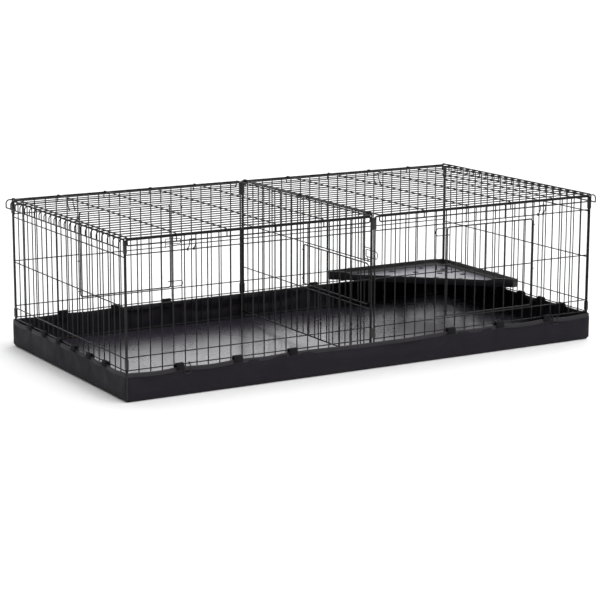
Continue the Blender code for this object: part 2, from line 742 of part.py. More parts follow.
def shelf():
    base, rim_top = SHELF_Z, SHELF_Z + SHELF_H
    holes = []
    a = Vector((SHELF_X0, SHELF_Y1 - 13.0))
    b = Vector((SHELF_X1 - 13.0, SHELF_Y0))
    along = (b - a).normalized()
    inwards = Vector((-along.y, along.x))
    corner = Vector((SHELF_X1, SHELF_Y1))
    middle = a + along * (corner - a).dot(along)
    for depth, steps in SHELF_HOLES:
        for step in steps:
            centre = middle + along * step + inwards * depth
            holes.append([
                (centre.x + 7.2 * math.cos(math.tau * i / 10), centre.y + 7.2 * math.sin(math.tau * i / 10))
                for i in range(10)
            ])
    floor = as_mesh(flat([shelf_outline(0.4)] + holes, base + SHELF_UNDER, base + SHELF_UNDER + SHELF_FLOOR))
    rim = as_mesh(flat([shelf_outline(0.0), shelf_outline(SHELF_WALL)], base, rim_top))
    body = combined(rim, [floor])
    # the front wall is lower between its two tips
    mid_front = (a + b) / 2
    length = (b - a).length
    notch = block((-length / 2 + 40, -8, base + SHELF_LIP), (length / 2 - 40, 8, rim_top + 5))
    slope = math.atan2(along.y, along.x)
    notch.data.transform(Matrix.Rotation(slope, 4, "Z"))
    notch.data.transform(Matrix.Translation((mid_front.x * MM, mid_front.y * MM, 0)))
    body = combined(body, [notch], "DIFFERENCE")
    # hooks over the second level wire of each panel
    hooks = []
    for k in (11, 19):
        x = bay(1, k)
        hooks.append(block((x - 6, SHELF_Y1 - 1.5, rim_top - 2.2), (x + 6, LONG_Y + 6.0, rim_top)))
        hooks.append(block((x - 6, LONG_Y + 4.2, rim_top - 10.0), (x + 6, LONG_Y + 5.8, rim_top - 1.0)))
    for k in (13, 19):
        y = -END_HALF + END_PITCH * (k + 0.5)
        hooks.append(block((SHELF_X1 - 1.5, y - 6, rim_top - 2.2), (END_X + 5.6, y + 6, rim_top)))
        hooks.append(block((END_X + 3.8, y - 6, rim_top - 12.0), (END_X + 5.4, y + 6, rim_top - 1.0)))
    return combined(body, hooks)


finish(shelf(), "corner_shelf", PLASTIC)
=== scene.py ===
"""Looks for the two-room wire cage: welded round wire, a sewn fabric tray, tape
straps, moulded sleeves and a moulded corner shelf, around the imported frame."""

import math

import bmesh
import bpy
import numpy as np
from mathutils import Matrix, Vector, noise


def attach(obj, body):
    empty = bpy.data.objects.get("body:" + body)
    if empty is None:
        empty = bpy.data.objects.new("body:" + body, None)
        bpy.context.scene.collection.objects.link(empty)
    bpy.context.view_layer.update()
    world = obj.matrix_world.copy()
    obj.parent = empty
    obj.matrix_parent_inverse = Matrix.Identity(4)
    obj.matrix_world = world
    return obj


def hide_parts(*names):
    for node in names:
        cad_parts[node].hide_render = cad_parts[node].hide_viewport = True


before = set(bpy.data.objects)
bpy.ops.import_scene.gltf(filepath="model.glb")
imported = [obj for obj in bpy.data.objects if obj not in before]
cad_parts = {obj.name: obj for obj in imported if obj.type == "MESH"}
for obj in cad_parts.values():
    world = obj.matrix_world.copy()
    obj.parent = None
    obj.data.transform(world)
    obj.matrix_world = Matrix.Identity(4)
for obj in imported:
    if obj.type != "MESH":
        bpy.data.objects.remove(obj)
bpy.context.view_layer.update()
MM = 0.001

# ------------------------------------------------------------------ dimensions
# Millimetres, the same design as the CAD part.
END_X, LONG_Y, MID_GAP = 590.0, 296.0, 4.0
POST_R, WIRE_R, DOOR_R, CLIP_R = 1.85, 1.25, 1.55, 0.95
BAYS = 22
RAIL_LOW_Z, RAIL_TOP_Z = 5.0, 335.2
LONG_WIRES, LONG_MID = (66.0, 93.0, 305.0), 198.0
END_WIRES, END_MID = (64.5, 90.0, 300.0), 194.0
IN_A, OUT_A, MID_A = -0.4, 1.95, -2.75
PIVOT_A = 2.1
END_HALF = LONG_Y - 4.6
LONG_LEN = END_X - MID_GAP
LONG_MIDDLE = (END_X + MID_GAP) / 2
HALF = LONG_LEN / 2
PITCH = LONG_LEN / BAYS
END_PITCH = 2 * END_HALF / BAYS
DOOR_FROM, DOOR_TO = 7, 16
DOOR_LOW_Z, DOOR_TOP_Z, DOOR_MID_Z = 97.2, 296.0, 195.0
HINGE_U = -HALF + PITCH * DOOR_TO
EYE_R = 2.35
BOLT_U = -92.0
DIV_POST_Y, DIV_ROD_Z, DIV_RAIL_Z, DIV_FOOT_Z = 290.0, 339.6, 21.0, 4.6
DIV_POST_X, DIV_UP_X, DIV_LEVEL_X = -2.0, -1.4, 0.95
DIV_SILL_Z, DIV_HEAD_Z = 129.0, 235.0
DIV_HINGE_BAY = 11
DIV_TWIN_Y, DIV_GUIDE_Z = -257.3, (239.8, 264.8)
TRAY_LATCH_X = (-456.5, 493.2)
DIV_PITCH = 2 * DIV_POST_Y / BAYS
KEY_Y, KEY_X = -272.0, 1.0
LID_IN_X, LID_EDGE_X, LID_END_X, LID_SIDE_Y = 12.0, 588.0, 605.0, 301.3
LID_END_LIP_Z = 321.0
LID_LIP_Z, LID_LONG_Z, LID_CROSS_Z = 324.5, 338.4, 340.75
LID_CROSS_X = (128.0, 244.5, 361.0, 477.5)
LID_EYE_R = 1.6
TRAY_L, TRAY_W, TRAY_H = 1190.0, 605.0, 61.0

THIN, THICK = 10, 12


# --------------------------------------------------------------------- wiring
def unit(v):
    return v / max(np.linalg.norm(v), 1e-12)


def filleted(points, radius, steps=5, closed=False):
    """The polyline with its corners rounded. radius is one number or one per point."""
    pts = [np.array(p, float) for p in points]
    n = len(pts)
    radii = [radius] * n if np.isscalar(radius) else list(radius)
    out = []
    for i in range(n):
        if not closed and i in (0, n - 1):
            out.append(pts[i])
            continue
        before, here, after = pts[i - 1], pts[i], pts[(i + 1) % n]
        a, b = before - here, after - here
        la, lb = np.linalg.norm(a), np.linalg.norm(b)
        a, b = a / la, b / lb
        inner = math.acos(float(np.clip(a @ b, -1, 1)))
        if radii[i] <= 0 or inner > math.pi - 0.02:
            out.append(here)
            continue
        cut = min(radii[i] / math.tan(inner / 2), 0.49 * la, 0.49 * lb)
        r = cut * math.tan(inner / 2)
        centre = here + unit(a + b) * (r / math.sin(inner / 2))
        s, e = here + a * cut - centre, here + b * cut - centre
        turn = math.pi - inner
        for k in range(steps + 1):
            w = k / steps
            out.append(
                centre
                + (math.sin((1 - w) * turn) * s + math.sin(w * turn) * e) / math.sin(turn)
                if turn > 1e-3
                else here
            )
    return out


def arc(centre, radius, start, end, u, v, steps=10):
    """Points of an arc about centre, from angle start to end (degrees), in the plane of u and v."""
    centre, u, v = (np.array(w, float) for w in (centre, u, v))
    return [
        centre + radius * (math.cos(t) * u + math.sin(t) * v)
        for t in np.radians(np.linspace(start, end, steps + 1))
    ]


def tube(path, radius, sides=THIN, closed=False, blunt=False):
    """(vertices, faces) of a round wire along path, in millimetres. Open ends are
    slightly domed, unless blunt."""
    P = np.array([np.array(p, float) for p in path])
    keep = [0]
    for i in range(1, len(P)):
        if np.linalg.norm(P[i] - P[keep[-1]]) > 1e-4:
            keep.append(i)
    P = P[keep]
    if closed and np.linalg.norm(P[0] - P[-1]) < 1e-4:
        P = P[:-1]
    n = len(P)
    seg = [unit(P[(i + 1) % n] - P[i]) for i in range(n if closed else n - 1)]
    tan, mitre = [], []
    for i in range(n):
        if closed:
            a, b = seg[i - 1], seg[i]
        else:
            a, b = seg[max(i - 1, 0)], seg[min(i, n - 2)]
        tan.append(unit(a + b))
        mitre.append((unit(b - a) if np.linalg.norm(b - a) > 1e-6 else None,
                      1 / max(math.cos(math.acos(float(np.clip(a @ b, -1, 1))) / 2), 0.5)))
    first = np.cross(tan[0], [0, 0, 1.0])
    if np.linalg.norm(first) < 0.1:
        first = np.cross(tan[0], [1.0, 0, 0])
    normals = [unit(first)]
    for i in range(1, n):
        v = normals[-1] - (normals[-1] @ tan[i]) * tan[i]
        normals.append(unit(v))
    twist = 0.0
    if closed:
        v = unit(normals[-1] - (normals[-1] @ tan[0]) * tan[0])
        twist = math.atan2(float(np.cross(v, normals[0]) @ tan[0]), float(v @ normals[0]))
    verts, faces, rings = [], [], []

    def add_ring(centre, t, nrm, r, spin=0.0, stretch=(None, 1.0)):
        side = np.cross(t, nrm)
        start = len(verts)
        for k in range(sides):
            ang = 2 * math.pi * (k + 0.5) / sides + spin
            offset = r * (math.cos(ang) * nrm + math.sin(ang) * side)
            if stretch[0] is not None:
                offset = offset + stretch[0] * (offset @ stretch[0]) * (stretch[1] - 1)
            verts.append(centre + offset)
        rings.append(start)

    domed = not closed and not blunt
    if domed:
        add_ring(P[0] - tan[0] * radius * 0.32, tan[0], normals[0], radius * 0.72)
    for i in range(n):
        add_ring(P[i], tan[i], normals[i], radius, twist * i / n if closed else 0.0, mitre[i])
    if domed:
        add_ring(P[-1] + tan[-1] * radius * 0.32, tan[-1], normals[-1], radius * 0.72)
    m = len(rings)
    for i in range(m if closed else m - 1):
        a, b = rings[i], rings[(i + 1) % m]
        for k in range(sides):
            l = (k + 1) % sides
            faces.append((a + k, a + l, b + l, b + k))
    if not closed:
        for ring, back in ((rings[0], True), (rings[-1], False)):
            loop = [ring + k for k in range(sides)]
            faces.append(tuple(reversed(loop)) if back else tuple(loop))
    return verts, faces


def ring_tube(centre, radius, normal, wire, sides=8, count=16):
    normal = np.array(normal, float)
    u = unit(np.cross(normal, [0.31, 0.77, 0.55]))
    v = np.cross(normal, u)
    pts = [
        np.array(centre, float) + radius * (math.cos(t) * u + math.sin(t) * v)
        for t in np.linspace(0, 2 * math.pi, count, endpoint=False)
    ]
    return tube(pts, wire, sides, closed=True)


def mesh_of(parts, name="part"):
    """One mesh of several (vertices, faces) in millimetres."""
    verts, faces = [], []
    for v, f in parts:
        base = len(verts)
        verts.extend(v)
        faces.extend(tuple(i + base for i in face) for face in f)
    mesh = bpy.data.meshes.new(name)
    mesh.from_pydata([tuple(np.array(v) * MM) for v in verts], [], faces)
    shape = bmesh.new()
    shape.from_mesh(mesh)
    bmesh.ops.recalc_face_normals(shape, faces=shape.faces)
    shape.to_mesh(mesh)
    shape.free()
    return mesh


def object_of(mesh, name="part"):
    made = bpy.data.objects.new(name, mesh)
    bpy.context.scene.collection.objects.link(made)
    return made


def is_closed(mesh):
    shape = bmesh.new()
    shape.from_mesh(mesh)
    good = len(shape.faces) > 0 and all(len(e.link_faces) == 2 for e in shape.edges)
    shape.free()
    return good


def evaluated(obj):
    bpy.context.view_layer.update()
    graph = bpy.context.evaluated_depsgraph_get()
    return bpy.data.meshes.new_from_object(obj.evaluated_get(graph))


def welded(groups, name):
    """A mesh in which the groups of wires are fused where they cross. The wires in
    one group don't touch each other."""
    meshes = [mesh_of(g, name) for g in groups if g]
    base = object_of(meshes[0], name)
    helpers = []
    for m in meshes[1:]:
        other = object_of(m, name + "_group")
        helpers.append(other)
        step = base.modifiers.new("weld", "BOOLEAN")
        step.operation = "UNION"
        step.solver = "MANIFOLD"
        step.object = other
    result = evaluated(base)
    for h in helpers:
        bpy.data.objects.remove(h, do_unlink=True)
    bpy.data.objects.remove(base, do_unlink=True)
    if not is_closed(result):
        print("not fused:", name)
        result = mesh_of([p for g in groups for p in g], name)
    shape = bmesh.new()
    shape.from_mesh(result)
    bmesh.ops.dissolve_degenerate(shape, dist=2e-6, edges=shape.edges)
    shape.to_mesh(result)
    shape.free()
    return result


def show(mesh, name, node, body, paint, matrix=None, angle=40):
    """A finished piece in the row frame that stands for a CAD node."""
    own = mesh.copy()
    own.name = name
    if matrix is not None:
        own.transform(matrix)
    own.materials.clear()
    own.materials.append(paint)
    own.shade_smooth()
    own.set_sharp_from_angle(angle=math.radians(angle))
    piece = object_of(own, name)
    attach(piece, body)
    if node:
        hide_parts(node)
    return piece


def placed(x=0.0, y=0.0, z=0.0, turn=0.0):
    return Matrix.Translation(Vector((x, y, z)) * MM) @ Matrix.Rotation(math.radians(turn), 4, "Z")


# ------------------------------------------------------------------- materials
def new_material(name):
    made = bpy.data.materials.new(name)
    made.use_nodes = True
    tree = made.node_tree
    return made, tree, tree.nodes["Principled BSDF"]


def node(tree, kind, **values):
    made = tree.nodes.new(kind)
    for key, value in values.items():
        if key in made.inputs:
            made.inputs[key].default_value = value
        else:
            setattr(made, key, value)
    return made


def mix_colour(tree, factor, a, b):
    made = tree.nodes.new("ShaderNodeMix")
    made.data_type = "RGBA"
    tree.links.new(factor, made.inputs["Factor"])
    made.inputs["A"].default_value = (*a, 1)
    made.inputs["B"].default_value = (*b, 1)
    return made.outputs["Result"]


def ramp(tree, value, low, high, out_low, out_high):
    made = tree.nodes.new("ShaderNodeMapRange")
    made.inputs["From Min"].default_value = low
    made.inputs["From Max"].default_value = high
    made.inputs["To Min"].default_value = out_low
    made.inputs["To Max"].default_value = out_high
    tree.links.new(value, made.inputs["Value"])
    return made.outputs["Result"]


def position(tree):
    return tree.nodes.new("ShaderNodeTexCoord").outputs["Object"]


def noise_of(tree, where, scale, detail=3.0, roughness=0.55):
    made = node(tree, "ShaderNodeTexNoise")
    made.inputs["Scale"].default_value = scale
    made.inputs["Detail"].default_value = detail
    made.inputs["Roughness"].default_value = roughness
    tree.links.new(where, made.inputs["Vector"])
    return made.outputs["Fac"]


def math_node(tree, op, a, b=None):
    made = tree.nodes.new("ShaderNodeMath")
    made.operation = op
    for slot_in, value in zip(made.inputs, (a, b)):
        if value is None:
            continue
        if isinstance(value, (int, float)):
            slot_in.default_value = value
        else:
            tree.links.new(value, slot_in)
    return made.outputs[0]


def bump(tree, shader, height, strength, distance, into=None):
    made = tree.nodes.new("ShaderNodeBump")
    made.inputs["Strength"].default_value = strength
    made.inputs["Distance"].default_value = distance
    tree.links.new(height, made.inputs["Height"])
    if into is not None:
        tree.links.new(into, made.inputs["Normal"])
    tree.links.new(made.outputs["Normal"], shader.inputs["Normal"])
    return made.outputs["Normal"]


def wire_material(name, rough_low, rough_high, colour, worn):
    """Dipped black coating: a faint orange peel, softer and harder patches, and a
    greyer, duller film where wires are handled and rub."""
    made, tree, shader = new_material(name)
    where = position(tree)
    broad = noise_of(tree, where, 9.0, 3.0)
    fine = noise_of(tree, where, 420.0, 2.0)
    specks = noise_of(tree, where, 150.0, 4.0, 0.7)
    mask = ramp(tree, specks, 0.60, 0.74, 0.0, 0.55)
    tree.links.new(mix_colour(tree, mask, colour, worn), shader.inputs["Base Color"])
    tree.links.new(ramp(tree, broad, 0.3, 0.7, rough_low, rough_high), shader.inputs["Roughness"])
    shader.inputs["Metallic"].default_value = 0.0
    shader.inputs["IOR"].default_value = 1.38
    bump(tree, shader, fine, 0.25, 0.00012)
    return made


def weave_height(tree, u, v, pitch):
    """Plain weave: threads along u and v take turns on top."""
    k = 2 * math.pi / pitch
    su = math_node(tree, "SINE", math_node(tree, "MULTIPLY", u, k))
    sv = math_node(tree, "SINE", math_node(tree, "MULTIPLY", v, k))
    return math_node(tree, "MULTIPLY", su, sv)


def cloth_material(name, colour, lighter, rough, pitch, depth, walls, sheen=0.25, ior=1.48, creases=0.0, vary=0.06):
    """Coated polyester cloth. walls: the weave runs round upright walls; otherwise
    it lies level."""
    made, tree, shader = new_material(name)
    where = position(tree)
    split = tree.nodes.new("ShaderNodeSeparateXYZ")
    tree.links.new(where, split.inputs[0])
    x, y, z = split.outputs
    if walls:
        u, v = math_node(tree, "ADD", x, y), z
    else:
        u, v = x, y
    weave = weave_height(tree, u, v, pitch)
    broad = noise_of(tree, where, 5.0, 4.0)
    mottled = noise_of(tree, where, 60.0, 5.0, 0.65)
    threads = ramp(tree, weave, -1.0, 1.0, 0.0, 0.35)
    tone = math_node(tree, "ADD", threads, ramp(tree, mottled, 0.3, 0.7, 0.0, 0.5))
    tree.links.new(mix_colour(tree, tone, colour, lighter), shader.inputs["Base Color"])
    tree.links.new(ramp(tree, broad, 0.3, 0.7, rough - vary, rough + vary), shader.inputs["Roughness"])
    shader.inputs["IOR"].default_value = ior
    shader.inputs["Specular Tint"].default_value = (0.94, 0.89, 1.0, 1.0)
    shader.inputs["Sheen Weight"].default_value = sheen
    shader.inputs["Sheen Roughness"].default_value = 0.45
    shader.inputs["Sheen Tint"].default_value = (0.80, 0.76, 0.86, 1)
    last = bump(tree, shader, weave, 0.5, depth)
    if creases:
        soft = noise_of(tree, where, 14.0, 3.0, 0.5)
        last = bump(tree, shader, soft, 0.5, creases, last)
    return made


def plastic_material(name, colour, lighter, rough, grain, depth, coat=0.0):
    """Moulded plastic with a fine eroded grain and faint scuffs."""
    made, tree, shader = new_material(name)
    where = position(tree)
    cells = node(tree, "ShaderNodeTexVoronoi")
    cells.inputs["Scale"].default_value = grain
    tree.links.new(where, cells.inputs["Vector"])
    broad = noise_of(tree, where, 12.0, 3.0)
    scuffs = noise_of(tree, where, 90.0, 6.0, 0.7)
    tree.links.new(
        mix_colour(tree, ramp(tree, scuffs, 0.45, 0.75, 0.0, 0.8), colour, lighter),
        shader.inputs["Base Color"],
    )
    tree.links.new(ramp(tree, broad, 0.3, 0.7, rough - 0.05, rough + 0.06), shader.inputs["Roughness"])
    shader.inputs["IOR"].default_value = 1.50
    shader.inputs["Coat Weight"].default_value = coat
    shader.inputs["Coat Roughness"].default_value = 0.25
    bump(tree, shader, cells.outputs["Distance"], 0.35, depth)
    return made


WIRE = wire_material("coated_wire", 0.46, 0.58, (0.003, 0.003, 0.0038), (0.014, 0.013, 0.015))
CLIP = wire_material("coated_clip_wire", 0.26, 0.36, (0.005, 0.005, 0.006), (0.024, 0.023, 0.025))
SLEEVE = plastic_material("sleeve_plastic", (0.004, 0.004, 0.0045), (0.010, 0.010, 0.011), 0.45, 1400.0, 0.00010)
SHELF = plastic_material("shelf_plastic", (0.009, 0.0088, 0.0105), (0.018, 0.0172, 0.0205), 0.34, 900.0, 0.000008)
# painted sheen: a pale copy of the shelf plastic, put on the shelf floor for the light it catches
SHELF_FLOOR_PAINTED_SHEEN = plastic_material("shelf_floor_painted_sheen", (0.130, 0.124, 0.150), (0.190, 0.182, 0.215), 0.36, 900.0, 0.000008)
WALL = cloth_material("tray_wall_cloth", (0.0042, 0.0036, 0.0056), (0.0095, 0.0080, 0.0125), 0.66, 0.0011, 0.00020, True, 0.0, 1.33, 0.0006)
# the floor cloth is paler than the wall cloth: partly the coated cloth's own near-black, partly painted sheen for the
# light the floor catches
FLOOR = cloth_material("tray_floor_cloth", (0.016, 0.0145, 0.0200), (0.030, 0.0270, 0.0380), 0.27, 0.0010, 0.000004, False, 0.0, 1.62, 0.0, 0.03)
TAPE = cloth_material("strap_tape", (0.003, 0.003, 0.0034), (0.008, 0.0077, 0.0088), 0.90, 0.0016, 0.00025, True, 0.0, 1.32)
BINDING = cloth_material("binding_tape", (0.005, 0.005, 0.0055), (0.015, 0.0145, 0.017), 0.66, 0.0013, 0.00022, True, 0.05)
THREAD = cloth_material("sewing_thread", (0.009, 0.009, 0.010), (0.030, 0.029, 0.033), 0.60, 0.0006, 0.00010, True, 0.1)


# ------------------------------------------------------------------ the panels
# In a panel's own frame u runs along it, a points outwards and z up.
def at(u, a, z):
    return (u, -a, z)


def wire_panel(half, pitch, levels, mid, opening=None):
    corner = 5.0
    low, top = RAIL_LOW_Z, RAIL_TOP_Z
    loop = [at(-half, 0, low), at(half, 0, low), at(half, 0, top), at(-half, 0, top)]
    frame_loop = [tube(filleted(loop, corner, 6, True), POST_R, THICK, True)]
    uprights = []
    for k in range(1, BAYS):
        u = -half + pitch * k
        if opening and opening[0] < k < opening[1]:
            uprights.append(tube([at(u, IN_A, low), at(u, IN_A, levels[1] + 1.9)], WIRE_R))
            uprights.append(tube([at(u, IN_A, levels[2] - 1.9), at(u, IN_A, top)], WIRE_R, blunt=False))
        else:
            uprights.append(tube([at(u, IN_A, low), at(u, IN_A, top)], WIRE_R))
    across = [tube([at(-half + 0.2, OUT_A, z), at(half - 0.2, OUT_A, z)], WIRE_R) for z in levels]
    step = 7.0
    if opening:
        left, right = -half + pitch * opening[0], -half + pitch * opening[1]
        runs = [
            [at(-half, -0.6, mid), at(-half + step, MID_A, mid), at(left - step, MID_A, mid), at(left, IN_A - 0.6, mid)],
            [at(right, IN_A - 0.6, mid), at(right + step, MID_A, mid), at(half - step, MID_A, mid), at(half, -0.6, mid)],
        ]
    else:
        runs = [[at(-half, -0.6, mid), at(-half + step, MID_A, mid), at(half - step, MID_A, mid), at(half, -0.6, mid)]]
    mids = [tube(filleted(r, 6.0, 3), WIRE_R) for r in runs]
    return welded([frame_loop, uprights, across, mids], "panel")


plain = wire_panel(HALF, PITCH, LONG_WIRES, LONG_MID)
show(plain, "front_left_panel_wires", "front_left_panel", "cage", WIRE, placed(-LONG_MIDDLE, -LONG_Y))
show(plain, "back_right_panel_wires", "back_right_panel", "cage", WIRE, placed(LONG_MIDDLE, LONG_Y, 0, 180))
gated = wire_panel(HALF, PITCH, LONG_WIRES, LONG_MID, (DOOR_FROM, DOOR_TO))
show(gated, "front_right_panel_wires", "front_right_panel", "cage", WIRE, placed(LONG_MIDDLE, -LONG_Y))
show(gated, "back_left_panel_wires", "back_left_panel", "cage", WIRE, placed(-LONG_MIDDLE, LONG_Y, 0, 180))
ended = wire_panel(END_HALF, END_PITCH, END_WIRES, END_MID)
show(ended, "right_end_panel_wires", "right_end_panel", "cage", WIRE, placed(END_X, 0, 0, 90))
show(ended, "left_end_panel_wires", "left_end_panel", "cage", WIRE, placed(-END_X, 0, 0, 270))


# ------------------------------------------------------------------- the doors
def wire_door():
    left, right, low, top = -103.2, 129.4, DOOR_LOW_Z, DOOR_TOP_Z
    loop = [at(left, 0, low), at(right, 0, low), at(right, 0, top), at(left, 0, top)]
    frame_loop = [tube(filleted(loop, 5.5, 6, True), DOOR_R, THICK, True)]
    uprights = [
        tube([at(-HALF + PITCH * k, -0.35, low), at(-HALF + PITCH * k, -0.35, top)], WIRE_R)
        for k in range(DOOR_FROM + 1, DOOR_TO)
    ]
    mid = [tube([at(left, 1.95, DOOR_MID_Z), at(right, 1.95, DOOR_MID_Z)], WIRE_R)]
    stops = []
    for z0, z1 in ((279.0, 295.6), (97.6, 110.5)):
        r = (z1 - z0) / 2
        u0, zc = left - 33.0 + r, (z0 + z1) / 2
        path = [at(left + 6.0, 2.0, z0)]
        path += [at(u0 - r * math.sin(t), 2.0, zc - r * math.cos(t)) for t in np.linspace(0, math.pi, 13)]
        path += [at(left + 6.0, 2.0, z1)]
        stops.append(tube(path, 1.05))
    eyes = [ring_tube(at(HINGE_U, IN_A, z), EYE_R + 0.05, (0, 0, 1), CLIP_R) for z in (111.0, 182.0, 283.0)]
    mesh = welded([frame_loop, uprights, mid, stops, eyes], "door")
    mesh.transform(Matrix.Translation(Vector((-HINGE_U, IN_A, 0)) * MM))
    return mesh


door = wire_door()
show(door, "door_front_right_wires", "door_front_right", "front_door", WIRE, placed(LONG_MIDDLE + HINGE_U, -LONG_Y - IN_A))
show(door, "door_back_left_wires", "door_back_left", "back_door", WIRE, placed(-LONG_MIDDLE - HINGE_U, LONG_Y + IN_A, 0, 180))


def wire_bolt():
    low, top, a, nose = 201.5, 213.5, 2.9, -2.7
    loop = [
        at(BOLT_U, a, low), at(-116.0, a, low), at(-124.5, nose, low), at(-129.0, nose, low),
        at(-129.0, nose, top), at(-124.5, nose, top), at(-116.0, a, top), at(BOLT_U, a, top),
    ]
    body = [tube(filleted(loop, (2.5, 4, 2, 2.6, 2.6, 2, 4, 2.5), 4, True), CLIP_R, 8, True)]
    hook = [at(BOLT_U, a, low)] + [
        at(BOLT_U, 2.2 + EYE_R * math.cos(t), DOOR_MID_Z + EYE_R * math.sin(t))
        for t in np.radians(np.linspace(80, -92, 12))
    ]
    mesh = welded([body, [tube(hook, CLIP_R * 0.97, 8)]], "bolt")
    mesh.transform(Matrix.Translation(Vector((-BOLT_U, 0, 0)) * MM))
    return mesh


bolt = wire_bolt()
show(bolt, "door_bolt_front_right_wire", "door_bolt_front_right", "front_bolt", CLIP, placed(LONG_MIDDLE + BOLT_U, -LONG_Y))
show(bolt, "door_bolt_back_left_wire", "door_bolt_back_left", "back_bolt", CLIP, placed(-LONG_MIDDLE - BOLT_U, LONG_Y, 0, 180))


# ----------------------------------------------------------------- the divider
def wire_divider():
    y, rod = DIV_POST_Y, DIV_ROD_Z
    path = [
        (DIV_POST_X, -y, DIV_FOOT_Z), (DIV_POST_X, -y, rod - 14), (0, -y, rod - 4), (0, -y, rod),
        (0, y, rod), (0, y, rod - 4), (DIV_POST_X, y, rod - 14), (DIV_POST_X, y, DIV_FOOT_Z),
    ]
    rods = [tube(filleted(path, (0, 8, 3, 4.5, 4.5, 3, 8, 0), 5), POST_R, THICK)]
    rail = [tube([(DIV_POST_X, -y, DIV_RAIL_Z), (DIV_POST_X, y, DIV_RAIL_Z)], POST_R * 0.9, THICK)]
    uprights = []
    for k in range(1, BAYS):
        p = -y + DIV_PITCH * k
        if k < DIV_HINGE_BAY:
            uprights.append(tube([(DIV_UP_X, p, DIV_RAIL_Z), (DIV_UP_X, p, DIV_SILL_Z + 1.9)], WIRE_R))
            uprights.append(tube([(DIV_UP_X, p, DIV_HEAD_Z - 1.6), (DIV_UP_X, p, rod)], WIRE_R))
        else:
            uprights.append(tube([(DIV_UP_X, p, DIV_RAIL_Z), (DIV_UP_X, p, rod)], WIRE_R))
    across = [
        tube(filleted([(-0.9, -y, z), (DIV_LEVEL_X, -y + 4, z), (DIV_LEVEL_X, y - 4, z), (-0.9, y, z)], 3.0, 3), WIRE_R * 0.98)
        for z in (DIV_SILL_Z, DIV_HEAD_Z)
    ]
    uprights.append(tube([(DIV_UP_X, DIV_TWIN_Y, DIV_HEAD_Z - 1.6), (DIV_UP_X, DIV_TWIN_Y, rod)], WIRE_R))
    guides = [tube([(DIV_UP_X, -y, z), (DIV_UP_X, -y + DIV_PITCH + 0.6, z)], CLIP_R * 1.05) for z in DIV_GUIDE_Z]
    return welded([rods, rail, uprights, across, guides], "divider")


show(wire_divider(), "divider_panel_wires", "divider_panel", "cage", WIRE)


def wire_gate():
    hinge = -DIV_POST_Y + DIV_PITCH * DIV_HINGE_BAY
    near, far, low, top = hinge - 3.9, -282.0, 139.0, 230.0
    loop = [(0, near, low), (0, far, low), (0, far, top), (0, near, top)]
    body = [tube(filleted(loop, (4, 12, 12, 4), 6, True), DOOR_R * 0.95, THICK, True)]
    uprights = [
        tube([(0.1, -DIV_POST_Y + DIV_PITCH * k, low), (0.1, -DIV_POST_Y + DIV_PITCH * k, top)], WIRE_R)
        for k in range(1, DIV_HINGE_BAY)
    ]
    eyes = [ring_tube((0, hinge, z), EYE_R + 0.05, (0, 0, 1), CLIP_R) for z in (151.0, 218.0)]
    mesh = welded([body, uprights, eyes], "gate")
    mesh.transform(Matrix.Translation(Vector((0, -hinge, 0)) * MM))
    return mesh


show(wire_gate(), "door_divider_wires", "door_divider", "divider_door", WIRE,
     placed(DIV_UP_X, -DIV_POST_Y + DIV_PITCH * DIV_HINGE_BAY))


def wire_key():
    tail, nose, low, top = -266.0, -312.0, 244.0, 259.5
    r = (top - low) / 2
    x, zc = KEY_X, (low + top) / 2
    loop = [(x, tail, low)]
    loop += [(x, nose + 5.5 - 5.5 * math.sin(t), zc - r * math.cos(t)) for t in np.linspace(0, math.pi, 13)]
    loop += [(x, tail, top)]
    body = [tube(filleted(loop, [2.5] + [0] * 13 + [2.5], 4, True), CLIP_R, 8, True)]
    hook = [(x, KEY_Y, low), (x + 0.1, KEY_Y, DIV_HEAD_Z + 5.0)] + [
        (1.1 + EYE_R * math.cos(t), KEY_Y, DIV_HEAD_Z + EYE_R * math.sin(t))
        for t in np.radians(np.linspace(75, -94, 12))
    ]
    return welded([body, [tube(hook, CLIP_R * 0.97, 8)]], "key")


show(wire_key(), "divider_latch_wire", "divider_latch", "divider_latch", CLIP)


# -------------------------------------------------------------------- the lids
def wire_lid():
    rod = DIV_ROD_Z
    end, edge, side, inner = -LID_END_X, -LID_EDGE_X, LID_SIDE_Y, -LID_IN_X
    lip, top = LID_LIP_Z, 339.0
    rim = [
        (edge, -side, lip), (inner, -side, lip), (inner, -side, top), (inner, side, top),
        (inner, side, lip), (edge, side, lip), (edge, side, LID_CROSS_Z), (edge, -side, LID_CROSS_Z),
    ]
    frame_loop = [tube(filleted(rim, (3, 4.5, 4.5, 4.5, 4.5, 3, 4.5, 4.5), 6, True), DOOR_R, THICK, True)]
    along = []
    for k in range(23):
        y = -297.0 + 27.0 * k
        r = 1.5 if k in (0, 22) else WIRE_R
        along.append(tube(
            filleted([(inner, y, LID_LONG_Z), (end, y, LID_LONG_Z), (end, y, LID_END_LIP_Z)], (0, 10.0, 0), 9), r, blunt=k in (0, 22)))
    across = [
        tube(filleted([(-x, -side, lip), (-x, -side, LID_CROSS_Z), (-x, side, LID_CROSS_Z), (-x, side, lip)], 4.5, 5), WIRE_R)
        for x in LID_CROSS_X
    ]
    outer_lip = [tube([(end, -297.0, LID_END_LIP_Z), (end, 297.0, LID_END_LIP_Z)], 1.5, THICK)]
    reach = POST_R + 0.35 + LID_EYE_R
    arms, eyes = [], []
    for k in (0, 11, 21):
        y = -DIV_POST_Y + DIV_PITCH * (k + 0.5) + 4.0
        arms.append(tube([(inner, y, top), (-reach * 0.72, y, rod + reach * 0.72)], WIRE_R * 1.1))
        eyes.append(ring_tube((0, y, rod), reach, (0, 1, 0), LID_EYE_R, 10, 20))
    return welded([frame_loop, along, across, outer_lip, arms, eyes], "lid")


lid = wire_lid()
show(lid, "lid_left_wires", "lid_left", "left_lid", WIRE)
show(lid, "lid_right_wires", "lid_right", "right_lid", WIRE, placed(turn=180))


